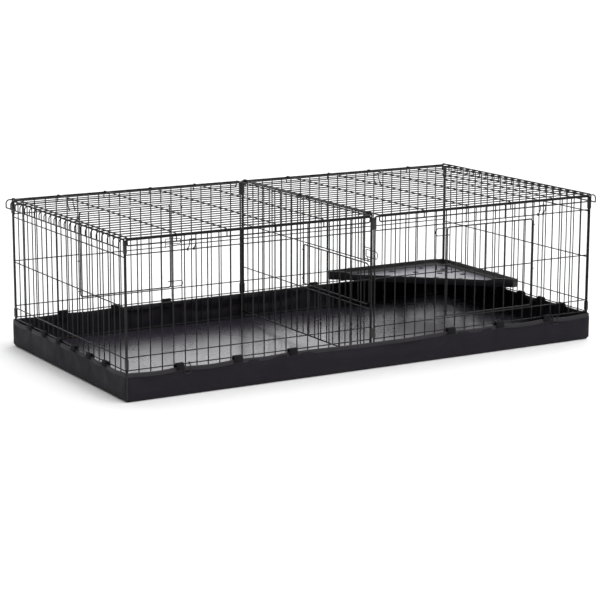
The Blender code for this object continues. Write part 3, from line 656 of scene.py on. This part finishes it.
# ----------------------------------------------------------------- lid latches
def wire_latch():
    half = 7.0
    eyes = [ring_tube((s, 0, 0), EYE_R + 0.05, (1, 0, 0), CLIP_R) for s in (-half, half)]
    path = [
        (-half, -EYE_R, 0.0), (-half, -2.9, 4.5), (-half, -6.0, 12.5), (-half, -6.0, 22.6), (-half, -2.4, 22.6),
        (half, -2.4, 22.6), (half, -6.0, 22.6), (half, -6.0, 12.5), (half, -2.9, 4.5), (half, -EYE_R, 0.0),
    ]
    body = [tube(filleted(path, (0, 5, 5, 1.9, 1.2, 1.2, 1.9, 5, 5, 0), 4), 1.05, 8)]
    mesh = welded([body, eyes], "latch")
    mesh.transform(Matrix.Rotation(math.radians(10.0), 4, "X"))
    return mesh


def bay(sign, k):
    return sign * (MID_GAP + PITCH * (k + 0.5))


latch = wire_latch()
for name, x, y, turn in (
    ("front_left", bay(-1, 16), -1, 0), ("front_right", bay(1, 16) + 3.5, -1, 0),
    ("back_left", bay(-1, 16), 1, 180), ("back_right", bay(1, 14), 1, 180),
):
    show(latch, f"lid_latch_{name}_wire", f"lid_latch_{name}", f"latch_{name}", CLIP,
         placed(x, y * (LONG_Y + PIVOT_A), LONG_WIRES[2], turn))


def wire_tray_latch():
    half, out, drop = 7.0, -6.7, -20.0
    eyes = [ring_tube((s, 0, 0), EYE_R + 0.05, (1, 0, 0), CLIP_R) for s in (-half, half)]
    path = [
        (-half, -EYE_R, 0.0), (-half, out, -4.0), (-half, out, drop), (half, out, drop), (half, out, -4.0), (half, -EYE_R, 0.0),
    ]
    return welded([[tube(filleted(path, (0, 3, 3.2, 3.2, 3, 0), 5), 1.0, 8)], eyes], "tray_latch")


hanging = wire_tray_latch()
for side, x in zip(("left", "right"), TRAY_LATCH_X):
    show(hanging, f"tray_latch_front_{side}_wire", f"tray_latch_front_{side}", f"tray_latch_body_front_{side}",
         CLIP, placed(x, -(LONG_Y + PIVOT_A), LONG_WIRES[0]))


# --------------------------------------------------------------------- sleeves
def moulded_sleeve(half, height):
    """A slotted sleeve with soft edges, slightly waisted in the middle."""
    inner, outer = POST_R + 0.2, POST_R + 0.3 + 1.2
    count = 12

    def outline(r, z):
        pts = []
        for sign, start in ((1, -90.0), (-1, 90.0)):
            for i in range(count):
                t = math.radians(start + 180.0 * i / (count - 1))
                pts.append((sign * half + r * math.cos(t), r * math.sin(t), z))
        return pts

    levels = [(inner, 0.8), (inner + 0.35, 0.12), (outer - 0.45, 0.0), (outer - 0.1, 0.25), (outer, 0.8)]
    waist = [0.25, 0.5, 0.75]
    rows = [outline(r, z) for r, z in levels]
    rows += [outline(outer - 0.12 * math.sin(math.pi * w), 0.8 + (height - 1.6) * w) for w in waist]
    rows += [outline(r, height - z) for r, z in reversed(levels)]
    n = 2 * count
    verts = [p for row in rows for p in row]
    faces = []
    m = len(rows)
    for i in range(m):
        j = (i + 1) % m
        for k in range(n):
            l = (k + 1) % n
            faces.append((i * n + k, i * n + l, j * n + l, j * n + k))
    return mesh_of([(verts, faces)], "sleeve")


for ends, low, high in (("top", 307.5, 333.0), ("bottom", 68.5, 88.0)):
    corner = moulded_sleeve(2.3, high - low)
    for sx, nx in ((-1, "left"), (1, "right")):
        for sy, ny in ((-1, "front"), (1, "back")):
            node_name = f"corner_sleeve_{ends}_{ny}_{nx}"
            show(corner, node_name + "_moulding", node_name, "cage", SLEEVE,
                 placed(sx * END_X, sy * (LONG_Y - 2.3), low, 90))
    middle = moulded_sleeve(MID_GAP, high - low)
    for sy, ny in ((-1, "front"), (1, "back")):
        node_name = f"middle_sleeve_{ends}_{ny}"
        show(middle, node_name + "_moulding", node_name, "cage", SLEEVE, placed(0, sy * LONG_Y, low))


# ------------------------------------------------------------- the fabric tray
STRAP_W = 21.0
NARROW_STRAP_W, NARROW_STRAP_X = 17.0, -473.4
LONG_STRAPS = [bay(s, k) for s, k in ((-1, 17), (-1, 12), (-1, 7), (1, 7), (1, 12), (1, 17))]
END_STRAPS = [-END_HALF + END_PITCH * (k + 0.5) for k in (3, 6, 9, 12, 15, 18)]


def graded(half, step, ends=(0.0, 1.4, 2.8, 4.4, 6.2, 9.0)):
    """Grid lines from -half to half, closer together near both ends."""
    inside = half - ends[-1]
    n = max(2, round(2 * inside / step))
    middle = np.linspace(-inside, inside, n + 1)
    low = np.array([-half + e for e in ends[:-1]])
    return np.concatenate([low, middle, -low[::-1]])


def sag(distance, spacing):
    """How far the hem hangs between straps, as a share."""
    return math.sin(math.pi * min(max(distance / spacing, 0.0), 1.0)) ** 2


def hem_drop(x, y):
    """Millimetres the top edge hangs below its straps at a point on the wall."""
    if abs(abs(y) - TRAY_W / 2) < abs(abs(x) - TRAY_L / 2):
        stops = sorted(LONG_STRAPS + [-586.0, 586.0])
        p = x
    else:
        stops = sorted(END_STRAPS + [-296.0, 296.0])
        p = y
    for a, b in zip(stops, stops[1:]):
        if a <= p <= b:
            gap = b - a
            return sag(p - a, gap) * min(gap / 60.0, 2.6)
    return 0.0


def tray_sheet():
    """The middle surface of the tray's cloth: floor and four walls in one sheet."""
    hx, hy, top = TRAY_L / 2 - 1.2, TRAY_W / 2 - 1.2, TRAY_H - 1.0
    r = 5.5
    xs, ys = graded(hx, 8.6), graded(hy, 8.6)
    zs = np.concatenate([[1.2, 2.6, 4.0, 5.6, 8.0], np.linspace(14.0, top, 8)])
    nx, ny, nz = len(xs), len(ys), len(zs)
    index, verts = {}, []

    def vertex(i, j, k):
        key = (i, j, k)
        if key not in index:
            p = np.array([xs[i], ys[j], zs[k]])
            inner = np.array([
                np.clip(p[0], -hx + r, hx - r), np.clip(p[1], -hy + r, hy - r), max(p[2], 1.2 + r),
            ])
            d = p - inner
            if np.count_nonzero(np.abs(d) > 1e-9) > 1:
                p = inner + d / max(np.linalg.norm(d), 1e-9) * r
            index[key] = len(verts)
            verts.append(p)
        return index[key]

    faces = []
    for i in range(nx - 1):
        for j in range(ny - 1):
            faces.append((vertex(i, j, 0), vertex(i, j + 1, 0), vertex(i + 1, j + 1, 0), vertex(i + 1, j, 0)))
    for k in range(nz - 1):
        for i in range(nx - 1):
            faces.append((vertex(i, 0, k), vertex(i + 1, 0, k), vertex(i + 1, 0, k + 1), vertex(i, 0, k + 1)))
            faces.append((vertex(i, ny - 1, k), vertex(i, ny - 1, k + 1), vertex(i + 1, ny - 1, k + 1), vertex(i + 1, ny - 1, k)))
        for j in range(ny - 1):
            faces.append((vertex(0, j, k), vertex(0, j, k + 1), vertex(0, j + 1, k + 1), vertex(0, j + 1, k)))
            faces.append((vertex(nx - 1, j, k), vertex(nx - 1, j + 1, k), vertex(nx - 1, j + 1, k + 1), vertex(nx - 1, j, k + 1)))
    rim = [index[(i, 0, nz - 1)] for i in range(nx)]
    rim += [index[(nx - 1, j, nz - 1)] for j in range(1, ny)]
    rim += [index[(i, ny - 1, nz - 1)] for i in range(nx - 2, -1, -1)]
    rim += [index[(0, j, nz - 1)] for j in range(ny - 2, 0, -1)]
    return np.array(verts), faces, rim


def drape(verts, faces):
    """Lets the walls hang from their straps as slightly slack cloth."""
    mesh = bpy.data.meshes.new("drape")
    mesh.from_pydata((verts * MM).tolist(), [], faces)
    cloth = object_of(mesh, "drape")
    group = cloth.vertex_groups.new(name="held")
    for i, p in enumerate(verts):
        hold = 0.0
        if p[2] < 9.0:
            hold = 1.0
        elif p[2] > TRAY_H - 9.0:
            long_side = abs(abs(p[1]) - TRAY_W / 2) < abs(abs(p[0]) - TRAY_L / 2)
            stops, along = (LONG_STRAPS, p[0]) if long_side else (END_STRAPS, p[1])
            near = min(abs(along - s) for s in stops)
            corner = abs(p[0]) > TRAY_L / 2 - 14 and abs(p[1]) > TRAY_W / 2 - 14
            if near < STRAP_W / 2 + 1 or corner:
                hold = 1.0
        if hold:
            group.add([i], hold, "REPLACE")
    step = cloth.modifiers.new("hang", "CLOTH")
    s = step.settings
    s.quality = 6
    s.mass = 0.35
    s.tension_stiffness = s.compression_stiffness = 40.0
    s.shear_stiffness = 12.0
    s.bending_stiffness = 2.5
    s.air_damping = 4.0
    s.vertex_group_mass = "held"
    s.shrink_min = -0.0045
    s.use_pressure = False
    step.collision_settings.use_collision = False
    step.collision_settings.use_self_collision = False
    step.point_cache.frame_start, step.point_cache.frame_end = 1, 20
    scene = bpy.context.scene
    scene.frame_start, scene.frame_end = 1, 20
    for f in range(1, 21):
        scene.frame_set(f)
    hung = evaluated(cloth)
    moved = np.array([v.co for v in hung.vertices]) / MM
    scene.frame_set(1)
    bpy.data.objects.remove(cloth, do_unlink=True)
    return moved


def outward(p):
    """Level unit vector out of the tray's wall nearest a point."""
    r = 5.5
    cx = np.clip(p[0], -(TRAY_L / 2 - 1.2 - r), TRAY_L / 2 - 1.2 - r)
    cy = np.clip(p[1], -(TRAY_W / 2 - 1.2 - r), TRAY_W / 2 - 1.2 - r)
    d = np.array([p[0] - cx, p[1] - cy, 0.0])
    return unit(d) if np.linalg.norm(d) > 1e-6 else np.zeros(3)


sheet, sheet_faces, sheet_rim = tray_sheet()
flat_sheet = sheet.copy()
hung = drape(sheet, sheet_faces)
for i, p in enumerate(flat_sheet):
    if p[2] <= 1.2 + 1e-6 and abs(p[0]) < TRAY_L / 2 - 9 and abs(p[1]) < TRAY_W / 2 - 9:
        # the floor lies nearly flat, with a slow ripple
        n = noise.noise(Vector((p[0] * 0.006, p[1] * 0.008, 3.1)))
        fade = min(1.0, (TRAY_L / 2 - 9 - abs(p[0])) / 40, (TRAY_W / 2 - 9 - abs(p[1])) / 40)
        sheet[i] = p + np.array([0, 0, 0.06 * n * fade])
        continue
    out = outward(p)
    push = float((hung[i] - p) @ out)
    push = 2.6 * math.tanh(push / 2.6) if push > 0 else 0.9 * math.tanh(push / 0.9)
    rise = min(max((p[2] - 6.0) / (TRAY_H - 6.0), 0.0), 1.0)
    n = noise.noise(Vector((p[0] * 0.011, p[1] * 0.011, p[2] * 0.02)))
    belly = 0.9 * math.sin(math.pi * rise) * (0.6 + 0.8 * n)
    drop = hem_drop(p[0], p[1]) * rise ** 1.6
    sheet[i] = p + out * (push + belly) - np.array([0, 0, drop])

tray_mesh = bpy.data.meshes.new("tray")
tray_mesh.from_pydata((sheet * MM).tolist(), [], sheet_faces)
shape = bmesh.new()
shape.from_mesh(tray_mesh)
bmesh.ops.recalc_face_normals(shape, faces=shape.faces)
shape.to_mesh(tray_mesh)
shape.free()
tray = object_of(tray_mesh, "tray")
thick = tray.modifiers.new("cloth", "SOLIDIFY")
thick.thickness = 2.2 * MM
thick.offset = 0.0
thick.use_even_offset = True
thick_mesh = evaluated(tray)
bpy.data.objects.remove(tray, do_unlink=True)
tray_piece = show(thick_mesh, "fabric_tray_cloth", "fabric_tray", "cage", WALL, angle=60)
# the upward floor faces take the paler floor cloth, partly painted sheen
tray_piece.data.materials.append(FLOOR)
for face in tray_piece.data.polygons:
    c = face.center
    if face.normal.z > 0.8 and c.z < 0.006:
        face.material_index = 1


def strip_along(loop, outs, profile, name):
    """A closed band: the profile (out, up) swept round a closed loop of points."""
    n, m = len(loop), len(profile)
    verts, faces = [], []
    for p, o in zip(loop, outs):
        for a, z in profile:
            verts.append(p + o * a + np.array([0, 0, z]))
    for i in range(n):
        j = (i + 1) % n
        for k in range(m):
            l = (k + 1) % m
            faces.append((i * m + k, i * m + l, j * m + l, j * m + k))
    return mesh_of([(verts, faces)], name)


rim_points = np.array([sheet[i] for i in sheet_rim])
rim_outs = [outward(flat_sheet[i]) for i in sheet_rim]
binding_profile = [
    (1.15, -7.5), (1.75, -7.2), (1.85, -4.0), (1.75, 0.6), (0.9, 1.5), (-0.9, 1.5),
    (-1.75, 0.6), (-1.85, -4.0), (-1.75, -7.2), (-1.15, -7.5), (-1.05, -0.2), (1.05, -0.2),
]
show(strip_along(rim_points, rim_outs, binding_profile, "binding"), "tray_hem_binding", None, "cage", BINDING, angle=50)


def capsule(a, b, r, sides=5):
    """A short thread of stitching lying between two points."""
    a, b = np.array(a, float), np.array(b, float)
    mid = (a + b) / 2
    return tube([a, mid, b], r, sides)


def stitch_loop(loop, outs, off, up, length, gap, r):
    """Stitches round a closed loop, set off from it by (off, up)."""
    parts = []
    pts = [p + o * off + np.array([0, 0, up]) for p, o in zip(loop, outs)]
    pts.append(pts[0])
    cum = np.concatenate([[0], np.cumsum([np.linalg.norm(b - a) for a, b in zip(pts, pts[1:])])])
    pts = np.array(pts)

    def place(s):
        return np.array([np.interp(s, cum, pts[:, c]) for c in range(3)])

    count = int(cum[-1] / (length + gap))
    for k in range(count):
        s = k * cum[-1] / count
        parts.append(capsule(place(s), place(s + length), r))
    return parts


threads = stitch_loop(rim_points, rim_outs, 1.95, -5.6, 3.4, 1.3, 0.28)
show(mesh_of(threads, "thread"), "tray_hem_stitching", None, "cage", THREAD, angle=70)

# piping down the four corners
for sx in (-1, 1):
    for sy in (-1, 1):
        o = unit(np.array([sx, sy, 0.0]))
        base = np.array([sx * (TRAY_L / 2 - 1.2 - 5.5), sy * (TRAY_W / 2 - 1.2 - 5.5), 0.0])
        line = [base + o * (5.5 + 1.2) + np.array([0, 0, z]) for z in np.linspace(5.0, TRAY_H - 7.0, 9)]
        name = f"tray_corner_piping_{'left' if sx < 0 else 'right'}_{'front' if sy < 0 else 'back'}"
        show(mesh_of([tube(line, 1.6, 10)], "piping"), name, None, "cage", BINDING)


# --------------------------------------------------------------- fabric straps
def strap_solid(wall_a, level, width=STRAP_W):
    """A tape loop: flat webbing with rounded selvedges that follows one line."""
    t = 1.1
    out = wall_a + 0.3 + 1.9 + t / 2
    line = [
        (out - 0.9, 54.5), (out, 57.0), (out, level - 4.0), (out - 1.0, level + 1.0), (out - 3.0, level + 3.0),
        (PIVOT_A, level + 3.4), (0.3, level + 2.4), (-0.9, level), (-0.9, level - 16.0),
    ]
    path = filleted([(0.0, -a, z) for a, z in line], (0, 3, 2.5, 2.5, 2.5, 3, 2.5, 3, 0), 3)
    path = np.array(path)
    n = len(path)
    verts, faces = [], []
    half, h = width / 2, t / 2
    section = [
        (-half + 0.5, -h), (half - 0.5, -h), (half, -h * 0.35), (half, h * 0.35), (half - 0.5, h),
        (half * 0.45, h * 0.86), (-half * 0.45, h * 0.86), (-half + 0.5, h), (-half, h * 0.35), (-half, -h * 0.35),
    ]
    for i in range(n):
        a, b = path[max(i - 1, 0)], path[min(i + 1, n - 1)]
        d = unit(b - a)
        side = unit(np.cross(d, [1.0, 0, 0]))
        for w, s in section:
            verts.append(path[i] + np.array([w, 0, 0]) + side * s)
    m = len(section)
    for i in range(n - 1):
        for k in range(m):
            l = (k + 1) % m
            faces.append((i * m + k, i * m + l, (i + 1) * m + l, (i + 1) * m + k))
    faces.append(tuple(reversed(range(m))))
    faces.append(tuple((n - 1) * m + k for k in range(m)))
    return mesh_of([(verts, faces)], "strap")


long_strap = strap_solid(TRAY_W / 2 - LONG_Y, LONG_WIRES[0])
narrow_strap = strap_solid(TRAY_W / 2 - LONG_Y, LONG_WIRES[0], NARROW_STRAP_W)
for sy, ny, turn in ((-1, "front", 0), (1, "back", 180)):
    for i, x in enumerate(LONG_STRAPS):
        narrow = ny == "front" and i == 0
        x = NARROW_STRAP_X if narrow else x
        show(narrow_strap if narrow else long_strap, f"strap_{ny}_{i + 1}_tape", f"strap_{ny}_{i + 1}", "cage", TAPE,
             placed(x, sy * LONG_Y, 0, turn))
end_strap = strap_solid(TRAY_L / 2 - END_X, END_WIRES[0])
for sx, nx, turn in ((-1, "left", 270), (1, "right", 90)):
    for i, y in enumerate(END_STRAPS):
        show(end_strap, f"strap_{nx}_{i + 1}_tape", f"strap_{nx}_{i + 1}", "cage", TAPE,
             placed(sx * END_X, y, 0, turn))


# ------------------------------------------------------------ the corner shelf
SHELF_Z, SHELF_H, SHELF_LIP = 76.0, 21.0, 16.0
SHELF_X0, SHELF_X1, SHELF_Y0, SHELF_Y1 = 238.0, 587.5, -28.0, 293.5
SHELF_ROUND, SHELF_BLUNT = 40.0, 13.0
SHELF_HOLES = ((57.0, (-111, -50, 11, 70)), (118.0, (-111, -50, 11, 70)), (176.0, (-46, 11)))
FRONT_STEPS = (0.0, 0.03, 0.075, 0.09, 0.105, 0.12, 0.135, 0.15, 0.3, 0.5, 0.7, 0.85, 0.865, 0.88, 0.895, 0.91, 0.925, 0.97, 1.0)


def shelf_front():
    a = np.array([SHELF_X0, SHELF_Y1 - SHELF_BLUNT])
    b = np.array([SHELF_X1 - SHELF_BLUNT, SHELF_Y0])
    along = (b - a) / np.linalg.norm(b - a)
    return a, b, along, np.array([-along[1], along[0]])


def shelf_loop(side, tip, front, z_side, z_front):
    """The shelf's outline drawn in by side along the two panels, by tip at the
    blunt tips and by front along the front; heights likewise."""
    a, b, along, inwards = shelf_front()
    x1, y1 = SHELF_X1 - side, SHELF_Y1 - side
    radius = SHELF_ROUND - side
    pts = []
    for t in np.radians(np.linspace(0, 90, 19)):
        pts.append((x1 - radius + radius * math.cos(t), y1 - radius + radius * math.sin(t), z_side))
    left, low = SHELF_X0 + tip, SHELF_Y0 + tip
    start = a + inwards * front
    first = start + along * ((left - start[0]) / along[0])
    last = start + along * ((low - start[1]) / along[1])
    pts.append((left + 6.0, y1, z_side))
    pts.append((left, min(y1, first[1] + 8.0) if side < 3 else y1, z_side))
    for w in FRONT_STEPS:
        q = first + (last - first) * w
        share = min(max((min(w, 1 - w) - 0.09) / 0.045, 0.0), 1.0)
        share = share * share * (3 - 2 * share)
        pts.append((q[0], q[1], z_side + (z_front - z_side) * share))
    pts.append((x1, low, z_side))
    pts.append((x1, low + 6.0, z_side))
    return pts


def ribbon(path, width, thick):
    """A flat bar with softened edges along a path in the y-z plane, centred on x = 0."""
    path = np.array(path)
    n = len(path)
    half, h = width / 2, thick / 2
    section = [
        (-half + 0.5, -h), (half - 0.5, -h), (half - 0.12, -h + 0.14), (half, -h * 0.4), (half, h * 0.4), (half - 0.12, h - 0.14),
        (half - 0.5, h), (-half + 0.5, h), (-half + 0.12, h - 0.14), (-half, h * 0.4), (-half, -h * 0.4), (-half + 0.12, -h + 0.14),
    ]
    verts, faces = [], []
    for i in range(n):
        d = unit(path[min(i + 1, n - 1)] - path[max(i - 1, 0)])
        side = unit(np.cross(d, [1.0, 0, 0]))
        for w, q in section:
            verts.append(path[i] + np.array([w, 0, 0]) + side * q)
    m = len(section)
    for i in range(n - 1):
        for k in range(m):
            l = (k + 1) % m
            faces.append((i * m + k, i * m + l, (i + 1) * m + l, (i + 1) * m + k))
    faces.append(tuple(reversed(range(m))))
    faces.append(tuple((n - 1) * m + k for k in range(m)))
    return verts, faces


def moved_part(part, matrix):
    verts, faces = part
    return [np.array(matrix @ Vector(v)) for v in verts], faces


def shelf_mesh():
    base, top = SHELF_Z, SHELF_Z + SHELF_H
    low = SHELF_Z + SHELF_LIP
    floor = base + 5.0
    loops = [
        shelf_loop(1.1, 1.1, 1.1, base, base),
        shelf_loop(0.3, 0.3, 0.3, base + 0.3, base + 0.3),
        shelf_loop(0.0, 0.0, 0.0, base + 1.1, base + 1.1),
        shelf_loop(0.0, 0.0, 0.0, top - 1.1, low - 1.1),
        shelf_loop(0.3, 0.3, 0.3, top - 0.3, low - 0.3),
        shelf_loop(1.0, 1.0, 1.0, top, low),
        shelf_loop(1.9, 1.9, 1.9, top, low),
        shelf_loop(2.5, 2.5, 2.5, top - 0.4, low - 0.4),
        shelf_loop(2.8, 2.8, 2.8, top - 1.1, low - 1.1),
        shelf_loop(3.1, 3.0, 3.0, base + 12.2, base + 9.2),
        shelf_loop(3.5, 3.2, 3.2, base + 11.4, base + 8.4),
        shelf_loop(4.2, 3.4, 3.4, base + 11.1, base + 7.8),
        shelf_loop(7.0, 3.9, 3.6, base + 10.8, base + 7.3),
        shelf_loop(7.8, 4.2, 3.8, base + 10.4, base + 6.9),
        shelf_loop(8.3, 4.5, 4.0, base + 9.7, base + 6.5),
        shelf_loop(9.2, 4.9, 4.3, floor + 1.6, floor + 1.0),
        shelf_loop(9.7, 5.3, 4.9, floor + 0.5, floor + 0.35),
        shelf_loop(10.6, 6.0, 5.8, floor, floor),
    ]
    n = len(loops[0])
    verts = [p for loop in loops for p in loop]
    faces = []
    for i in range(len(loops) - 1):
        for k in range(n):
            l = (k + 1) % n
            faces.append((i * n + k, i * n + l, (i + 1) * n + l, (i + 1) * n + k))
    faces.append(tuple(reversed(range(n))))
    faces.append(tuple((len(loops) - 1) * n + k for k in range(n)))
    body = object_of(mesh_of([(verts, faces)], "shelf"), "shelf")

    a, b, along, inwards = shelf_front()
    corner = np.array([SHELF_X1, SHELF_Y1])
    middle = a + along * float((corner - a) @ along)
    cutters = []
    for depth, steps in SHELF_HOLES:
        for step in steps:
            c = middle + along * step + inwards * depth
            cv, cf = [], []
            levels = ((8.3, floor + 3.0), (8.3, floor + 0.02), (8.15, floor - 0.12), (8.0, floor - 0.3), (7.9, floor - 1.0), (7.9, base - 2.0))
            for r, z in levels:
                cv += [np.array([c[0] + r * math.cos(q), c[1] + r * math.sin(q), z]) for q in np.linspace(0, 2 * math.pi, 28, endpoint=False)]
            for i in range(len(levels) - 1):
                for k in range(28):
                    l = (k + 1) % 28
                    cf.append((i * 28 + k, i * 28 + l, (i + 1) * 28 + l, (i + 1) * 28 + k))
            cf.append(tuple(range(28)))
            cf.append(tuple((len(levels) - 1) * 28 + k for k in reversed(range(28))))
            cutters.append((cv, cf))
    hooks = []
    z = top - 1.2
    for k in (11, 19):
        path = filleted([(0, SHELF_Y1 - 1.6, z), (0, LONG_Y + 5.0, z), (0, LONG_Y + 5.0, top - 10.0)], (0, 2.2, 0), 6)
        hooks.append(moved_part(ribbon(path, 12.0, 2.2), Matrix.Translation((bay(1, k), 0, 0))))
    for k in (13, 19):
        path = filleted([(0, SHELF_X1 - 1.6, z), (0, END_X + 4.6, z), (0, END_X + 4.6, top - 12.0)], (0, 2.2, 0), 6)
        y = -END_HALF + END_PITCH * (k + 0.5)
        hooks.append(moved_part(ribbon(path, 12.0, 2.2), Matrix.Translation((0, y, 0)) @ Matrix.Rotation(math.radians(-90), 4, "Z")))
    tool = object_of(mesh_of(cutters, "holes"), "holes")
    extra = object_of(mesh_of(hooks, "hooks"), "hooks")
    for other, how in ((tool, "DIFFERENCE"), (extra, "UNION")):
        step = body.modifiers.new("cut", "BOOLEAN")
        step.operation, step.solver, step.object = how, "MANIFOLD", other
    result = evaluated(body)
    for o in (tool, extra, body):
        bpy.data.objects.remove(o, do_unlink=True)
    if not is_closed(result):
        print("shelf is not closed")
    return result


shelf_piece = show(shelf_mesh(), "corner_shelf_moulding", "corner_shelf", "shelf", SHELF, angle=28)
# the floor faces take a much paler copy of the same plastic: painted sheen for the light the dark floor catches at a
# grazing view, inside the dark walls; the faint mottling in it is random scuff tone
shelf_piece.data.materials.append(SHELF_FLOOR_PAINTED_SHEEN)
for face in shelf_piece.data.polygons:
    if face.normal.z > 0.8 and (SHELF_Z + 4.0) * MM < face.center.z < (SHELF_Z + 6.0) * MM:
        face.material_index = 1

# ------------------------------------------------------------------- the stage
floor_mesh = bpy.data.meshes.new("floor")
s = 60.0
floor_mesh.from_pydata([(-s, -s, -0.0006), (s, -s, -0.0006), (s, s, -0.0006), (-s, s, -0.0006)], [], [(0, 1, 2, 3)])
floor = object_of(floor_mesh, "studio_floor")
paper, tree, shader = new_material("studio_paper")
shader.inputs["Base Color"].default_value = (0.90, 0.90, 0.90, 1)
shader.inputs["Roughness"].default_value = 0.9
floor.data.materials.append(paper)

world = bpy.data.worlds.new("studio")
bpy.context.scene.world = world
world.use_nodes = True
wt = world.node_tree
# a white sweep behind the object, a dimmer room in front of it and overhead
back = wt.nodes["Background"]
direction = wt.nodes.new("ShaderNodeTexCoord").outputs["Generated"]
along_view = wt.nodes.new("ShaderNodeVectorMath")
along_view.operation = "DOT_PRODUCT"
along_view.inputs[1].default_value = (0.5197, 0.8544, 0.0)
wt.links.new(direction, along_view.inputs[0])
shade = wt.nodes.new("ShaderNodeMapRange")
shade.interpolation_type = "SMOOTHSTEP"
shade.inputs["From Min"].default_value = -0.20
shade.inputs["From Max"].default_value = 0.85
shade.inputs["To Min"].default_value = 0.10
shade.inputs["To Max"].default_value = 1.05
wt.links.new(along_view.outputs["Value"], shade.inputs["Value"])
# a bright strip low behind the object, for the glossy floor and shelf
split = wt.nodes.new("ShaderNodeSeparateXYZ")
wt.links.new(direction, split.inputs[0])


def eased(value, low, high, top):
    step = wt.nodes.new("ShaderNodeMapRange")
    step.interpolation_type = "SMOOTHSTEP"
    step.inputs["From Min"].default_value = low
    step.inputs["From Max"].default_value = high
    step.inputs["To Min"].default_value = 0.0
    step.inputs["To Max"].default_value = top
    wt.links.new(value, step.inputs["Value"])
    return step.outputs["Result"]


strip = math_node(
    wt, "MULTIPLY", eased(along_view.outputs["Value"], 0.45, 0.78, 1.0), eased(split.outputs[2], 0.06, 0.24, 0.55),
)
lit = math_node(wt, "ADD", shade.outputs["Result"], strip)
seen = wt.nodes.new("ShaderNodeLightPath").outputs["Is Camera Ray"]
pick = wt.nodes.new("ShaderNodeMix")
pick.data_type = "FLOAT"
wt.links.new(seen, pick.inputs["Factor"])
wt.links.new(lit, pick.inputs["A"])
pick.inputs["B"].default_value = 1.0
wt.links.new(pick.outputs["Result"], back.inputs["Strength"])
back.inputs["Color"].default_value = (1.0, 1.0, 1.0, 1)

# one very large soft lamp high in front and to the right, a fainter one from behind
for lamp_name, strength, spread, tilt, azimuth in (
    ("overhead_soft", 2.9, 70.0, 32.0, 78.0), ("behind_soft", 0.5, 60.0, 50.0, 205.0),
):
    sun_data = bpy.data.lights.new(lamp_name, "SUN")
    sun_data.energy = strength
    sun_data.angle = math.radians(spread)
    sun = bpy.data.objects.new(lamp_name, sun_data)
    bpy.context.scene.collection.objects.link(sun)
    # azimuth is where the light comes from, turned from the front towards the right
    towards = Vector((
        math.sin(math.radians(tilt)) * math.cos(math.radians(azimuth - 90.0 - 60.0)),
        math.sin(math.radians(tilt)) * math.sin(math.radians(azimuth - 90.0 - 60.0)),
        math.cos(math.radians(tilt)),
    ))
    sun.rotation_euler = towards.to_track_quat("Z", "Y").to_euler()
    sun.location = towards * 4.0

camera_data = bpy.data.cameras.new("camera")
camera = bpy.data.objects.new("camera", camera_data)
bpy.context.scene.collection.objects.link(camera)
# no lens shift, so the same camera can be carried round the object
right = Vector((0.8631719, -0.50490664, 0.00188699))
down = Vector((-0.10072515, -0.17585618, -0.97924923))
ahead = Vector((0.49476128, 0.84507035, -0.20265091))
camera.matrix_world = Matrix((
    (right.x, -down.x, -ahead.x, -2.26604),
    (right.y, -down.y, -ahead.y, -3.85368),
    (right.z, -down.z, -ahead.z, 1.02421),
    (0, 0, 0, 1),
))
camera_data.sensor_width = 36.0
camera_data.sensor_fit = "HORIZONTAL"
camera_data.lens = 1980.99 / 600 * 36.0
camera_data.clip_start, camera_data.clip_end = 0.05, 200.0
bpy.context.scene.camera = camera
bpy.context.scene.view_settings.view_transform = "Standard"
